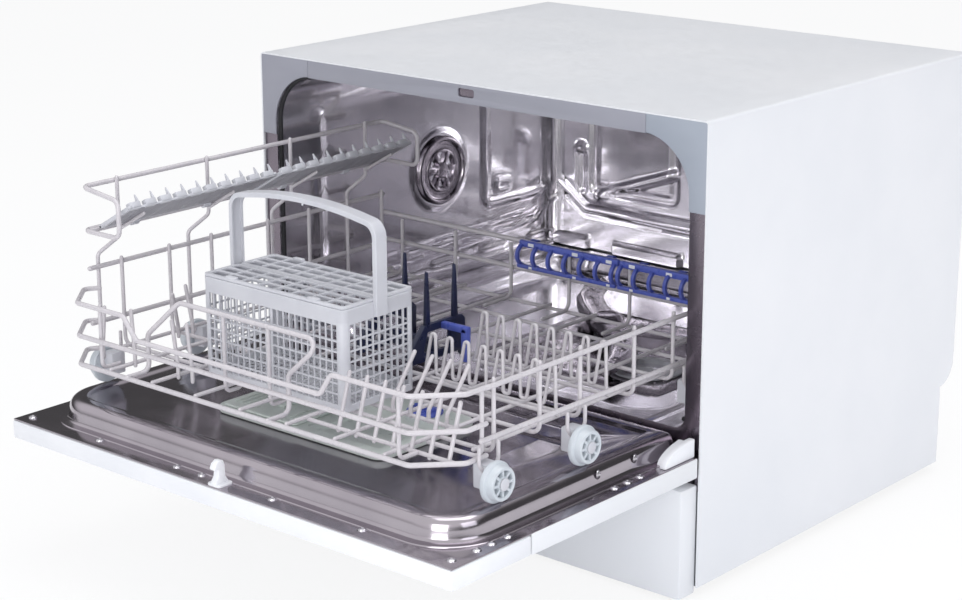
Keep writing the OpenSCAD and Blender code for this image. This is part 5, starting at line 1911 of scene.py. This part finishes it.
@dataclass
class PlateRails:
    """The two blue folding rails on the rack's rear wire."""

    y: float = 124.3
    z: float = 255.0
    rear: float = 130.0
    spans: dict[str, tuple[float, float, tuple[float, ...]]] = field(
        default_factory=lambda: {"left": (-36.0, 88.0, (-26.0, 70.0)), "right": (90.0, 190.0, (110.0, 156.0))}
    )

    def build(self) -> None:
        """Make both rails with their curved ribs and pale clips."""
        for name, (x0, x1, rings) in self.spans.items():
            node = f"plate_rail_{name}"
            y, z = self.y, self.z
            shape = Shape().block((x0, y - 3, z - 3.4), (x1, y + 2.4, z + 3.6), 1.3)
            shape.block((x0, y - 7, z - 24.4), (x1, y - 2.4, z - 20), 1.4)
            count = round((x1 - x0) / 20)
            rib = Shape().loft([self.section(step) for step in range(11)])
            shape.rows(rib, [Place((x0 + 3 + i * (x1 - x0 - 6) / count, y, z)) for i in range(count + 1)])
            ring = Shape().lathe([(2.56, 0), (4.2, 0), (4.2, 8), (2.56, 8), (2.56, 0)], (0, 0, 0), Plane.YZ, 24)
            ring.block((0, -5.4, -1.5), (8, -2.7, 1.5), 0.4)
            shape.rows(ring, [Place((x, self.rear, z)) for x in rings])
            shape.piece(f"{node}_ribs", BLUE_PLASTIC, node, "blue_plastic", [node], 40)
            clips = Shape()
            for x in (x0 + 12, (x0 + x1) / 2 + 6, x1 - 14):
                clips.block((x, y - 3.6, z - 1.6), (x + 7, y - 2.6, z + 1.8), 0.4)
                clips.block((x + 4, y - 7.6, z - 23.4), (x + 8, y - 6.8, z - 21), 0.3)
            clips.piece(f"{node}_clips", WHITE_PLASTIC, node, "blue_plastic")

    @staticmethod
    def section(step: int) -> list[Point]:
        """Give one cross-section of a rib that bows forwards between the two bars.

        Args:
            step: Which one, from 0 at the foot to 10 at the top.

        Returns:
            The section's corners.
        """
        a = math.radians(-80 + 16 * step)
        y, z = 1.0 - 10.5 * math.cos(a), -11.4 + 10.6 * math.sin(a)
        lean = Vector((0, math.cos(a), -math.sin(a)))
        corners = ((-1.7, -1.6), (1.7, -1.6), (1.7, 1.6), (-1.7, 1.6))
        return [tuple(Vector((x, y, z)) + lean * d) for x, d in corners]


@dataclass
class GlassSupport:
    """The folding rest for long glasses."""

    axis_y: float = -40.0
    front_y: float = -117.0
    z: float = 197.3
    comb_x: tuple[float, float] = (-34.0, 28.0)
    comb_t: float = 6.0

    def build(self) -> None:
        """Make the dark combs and the brighter arm across them."""
        z, t = self.z, self.comb_t
        shape = Shape()
        y0, y1 = self.front_y, self.axis_y
        side = [(y0, z), (y1 - 2, z), (y1, z + 8), (y1, z + 30), (y1 - 4, z + 34), (-96, z + 34), (y0, z + 12)]
        for x in self.comb_x:
            shape.plate(side, [[(-98, z + 7), (-60, z + 7), (-60, z + 27), (-92, z + 27)]], Plane.YZ, x, x + t, 0.9)
            for y in (-94, -56):
                prong = [
                    (y, z + 30), (y + 7, z + 30), (y + 6, z + 60), (y + 4.3, z + 84), (y + 2.7, z + 84),
                    (y + 1, z + 60),
                ]
                shape.prism(prong, Plane.YZ, x + 1.2, x + t - 1.2, 0.7)
            shape.lathe([(2.56, 0), (4.5, 0), (4.5, t), (2.56, t), (2.56, 0)], (x, y1, z - 2.8), Plane.YZ, 24)
            shape.block((x, y1 - 4, z - 0.5), (x + t, y1, z + 10), 0.8)
        shape.block((self.comb_x[0], -84, z + 4), (self.comb_x[1] + t, -78, z + 18), 1)
        shape.piece("glass_rest_combs", NAVY_PLASTIC, "glass_support", "navy_plastic", ["glass_support"])
        arm = Shape().block((self.comb_x[1], -74.4, z + 27), (65, -67.6, z + 33.4), 1.2)
        arm.prism([(58, z), (64.4, z), (65, z + 30), (61, z + 33.4), (57.4, z + 30)], Plane.XZ, -74.4, -67.6, 1.2)
        arm.piece("glass_rest_arm", BLUE_PLASTIC, "glass_support", "blue_plastic")


@dataclass
class Basket:
    """The cutlery basket with its fine grid, two lids and strap handle."""

    x0: float = -97.0
    y0: float = -248.0
    z0: float = 197.3
    length: float = 176.0
    width: float = 90.0
    height: float = 91.0
    handle: float = 84.0
    corner: float = 7.0
    wall: float = 2.0
    cell: float = 7.2
    rung: float = 9.4
    band: float = 14.0

    def ring(self, inset: float, z: float) -> list[Point]:
        """Give the basket's outline.

        Args:
            inset: How far it stands in from the full size.
            z: Its height.

        Returns:
            The outline's points.
        """
        r = max(self.corner - inset, 2)
        flat = soft_rectangle(
            self.x0 + inset, self.x0 + self.length - inset, self.y0 + inset, self.y0 + self.width - inset, [r] * 4, 5
        )
        return [(x, y, z) for x, y in flat]

    def hoop(self, shape: Shape, low: float, high: float, lip: float = 0.0) -> None:
        """Add a closed band round the basket.

        Args:
            shape: The shape that it joins.
            low: The band's lower edge.
            high: Its upper edge.
            lip: How far its top turns outwards.
        """
        w = self.wall
        profile = [(0.2, low), (0.2, high - 2.6), (0.2 - lip, high - 2), (0.2 - lip, high - 0.4), (0.7 - lip, high)]
        profile += [(w, high), (w, low), (0.2, low)]
        shape.loft([self.ring(inset, z) for inset, z in profile], caps=False)

    def body(self) -> None:
        """Mould the basket."""
        x0, y0, z0, corner = self.x0, self.y0, self.z0, self.corner
        x1, y1, top = x0 + self.length, y0 + self.width, z0 + self.height
        shape = Shape()
        self.hoop(shape, top - self.band, top, 0.2)
        self.hoop(shape, z0, z0 + 6)
        bmesh.ops.recalc_face_normals(shape.bm, faces=shape.bm.faces)
        upright = Shape().block((-0.65, 0.3, z0 + 4), (0.65, 1.9, top - self.band + 2), 0.25)
        span_x, span_y = self.length - 2 * corner, self.width - 2 * corner
        count_x, count_y = int(span_x / self.cell), int(span_y / self.cell)
        pitch_x, pitch_y = span_x / count_x, span_y / count_y
        thin, thick = 1.0, 2.6
        places = []
        for i in range(count_x + 1):
            x = x0 + corner + i * pitch_x
            wide = {0: thick, count_x // 2: 1.9, count_x: thick}.get(i, thin)
            places += [Place((x, y0, 0), (0, 0, 0), (wide, 1, 1)), Place((x, y1, 0), (0, 0, 180), (wide, 1, 1))]
        for i in range(count_y + 1):
            y = y0 + corner + i * pitch_y
            wide = thick if i in (0, count_y) else thin
            places += [Place((x0, y, 0), (0, 0, -90), (wide, 1, 1)), Place((x1, y, 0), (0, 0, 90), (wide, 1, 1))]
        shape.rows(upright, places)
        levels = [z0 + 6 + self.rung * (k + 1) for k in range(int((self.height - self.band - 12) / self.rung))]
        profile = ((0.5, -0.8), (0.3, 0), (0.5, 0.8), (1.7, 0.8), (1.7, -0.8), (0.5, -0.8))
        for level in levels:
            shape.loft([self.ring(inset, level + rise) for inset, rise in profile], caps=False)
        bow = arc((corner, corner), corner - 0.1, 180, 270, 5)
        inner = arc((corner, corner), corner - self.wall, 270, 180, 5)
        for cx, cy, turn in ((x0, y0, 0), (x1, y0, 90), (x1, y1, 180), (x0, y1, 270)):
            post = Shape().prism(bow + inner, Plane.XY, z0 + 4, top - self.band + 2, 0.2)
            shape.join(post.moved(Matrix.Translation((cx, cy, 0)) @ Matrix.Rotation(math.radians(turn), 4, "Z")))
        slat = Shape().block((-0.8, y0 + 2, z0), (0.8, y1 - 2, z0 + 1.8), 0.3)
        shape.rows(slat, [Place((x0 + corner + i * pitch_x, 0, 0)) for i in range(count_x + 1)])
        cross = Shape().block((x0 + 2, -0.8, z0 + 0.2), (x1 - 2, 0.8, z0 + 2), 0.3)
        shape.rows(cross, [Place((0, y0 + corner + i * pitch_y, 0)) for i in range(count_y + 1)])
        shape.piece("basket_cage", LIGHT_PLASTIC, "cutlery_basket", "light_plastic", ["cutlery_basket"], 40)

    def strap(self) -> None:
        """Bend the strap handle over the lids."""
        x0, x1 = self.x0 - 1.7, self.x0 + self.length + 1.7
        mid = self.y0 + self.width / 2
        top = self.z0 + self.height
        arch, r, crown = top + self.handle - 8, 14.0, 7.0
        path: list[Flat] = [(x0, top - self.band + 1), (x0, top - 4), (x0, top + 12), (x0, arch - r - crown)]
        path += arc((x0 + r, arch - r - crown), r, 168, 102, 6)
        for i in range(13):
            t = i / 12
            path.append((x0 + r + (x1 - x0 - 2 * r) * t, arch - crown + crown * 4 * t * (1 - t)))
        path += [(x0 + x1 - x, z) for x, z in reversed(path[:10])]
        half_section = [(7, 0.6), (7, 4.4), (5.4, 4.4), (5.2, 1.9)]
        section = [(-7, 0.6), (-6.4, 0), (6.4, 0), *half_section, *((-w, d) for w, d in reversed(half_section[1:]))]
        rings = []
        for i, (x, z) in enumerate(path):
            before, after = path[max(i - 1, 0)], path[min(i + 1, len(path) - 1)]
            along = Vector((after[0] - before[0], 0, after[1] - before[1])).normalized()
            inward = Vector((along.z, 0, -along.x))
            rings.append([tuple(Vector((x, mid + w, z)) + inward * (d - 1.7)) for w, d in section])
        shape = Shape().loft(rings)
        shape.block((-6, mid - 7.4, arch - 4.6), (-4.2, mid - 6.6, arch - 2.8), 0.3)
        shape.piece("basket_handle", LIGHT_PLASTIC, "cutlery_basket", "light_plastic", (), 35)

    def lids(self) -> None:
        """Mould the two gridded lids."""
        z = self.z0 + self.height + 0.3
        mid = self.y0 + self.width / 2
        spans = {"front": (self.y0 + 1, mid - 0.3), "rear": (mid + 0.3, self.y0 + self.width - 1)}
        for name, (low, high) in spans.items():
            x0, x1 = self.x0 + 1, self.x0 + self.length - 1
            outline = soft_rectangle(x0, x1, low, high, [4] * 4, 4)
            columns, rows = 8, 3
            px, py = (x1 - x0 - 6) / columns, (high - low - 5) / rows
            cells = [(x0 + 3 + i * px, low + 2.5 + j * py) for i in range(columns) for j in range(rows)]
            holes = [soft_rectangle(x + 1.2, x + px - 1.2, y + 1.7, y + py - 1.7, [1] * 4, 1) for x, y in cells]
            shape = Shape().plate(outline, holes, Plane.XY, z, z + 2.3, 0.35)
            y = low + 0.2 if name == "front" else high - 5.2
            for x in (self.x0 + 30, self.x0 + self.length - 44):
                shape.block((x, y, z + 1), (x + 12, y + 5, z + 4.4), 0.8)
            node = f"basket_lid_{name}"
            shape.piece(f"{node}_grid", LIGHT_PLASTIC, node, "light_plastic", [node])

    def build(self) -> None:
        """Make the basket's pieces."""
        self.body()
        self.strap()
        self.lids()


def main() -> None:
    """Build the studio and every sub-assembly, logging each piece's face count."""
    logging.basicConfig(level=logging.INFO, format="%(message)s")
    parts = (Studio, Cabinet, WashChamber, Door, Rack, Wheels, TineRows, CupTrays, PlateRails, GlassSupport, Basket)
    for part in parts:
        part().build()


if __name__ == "__main__":
    main()
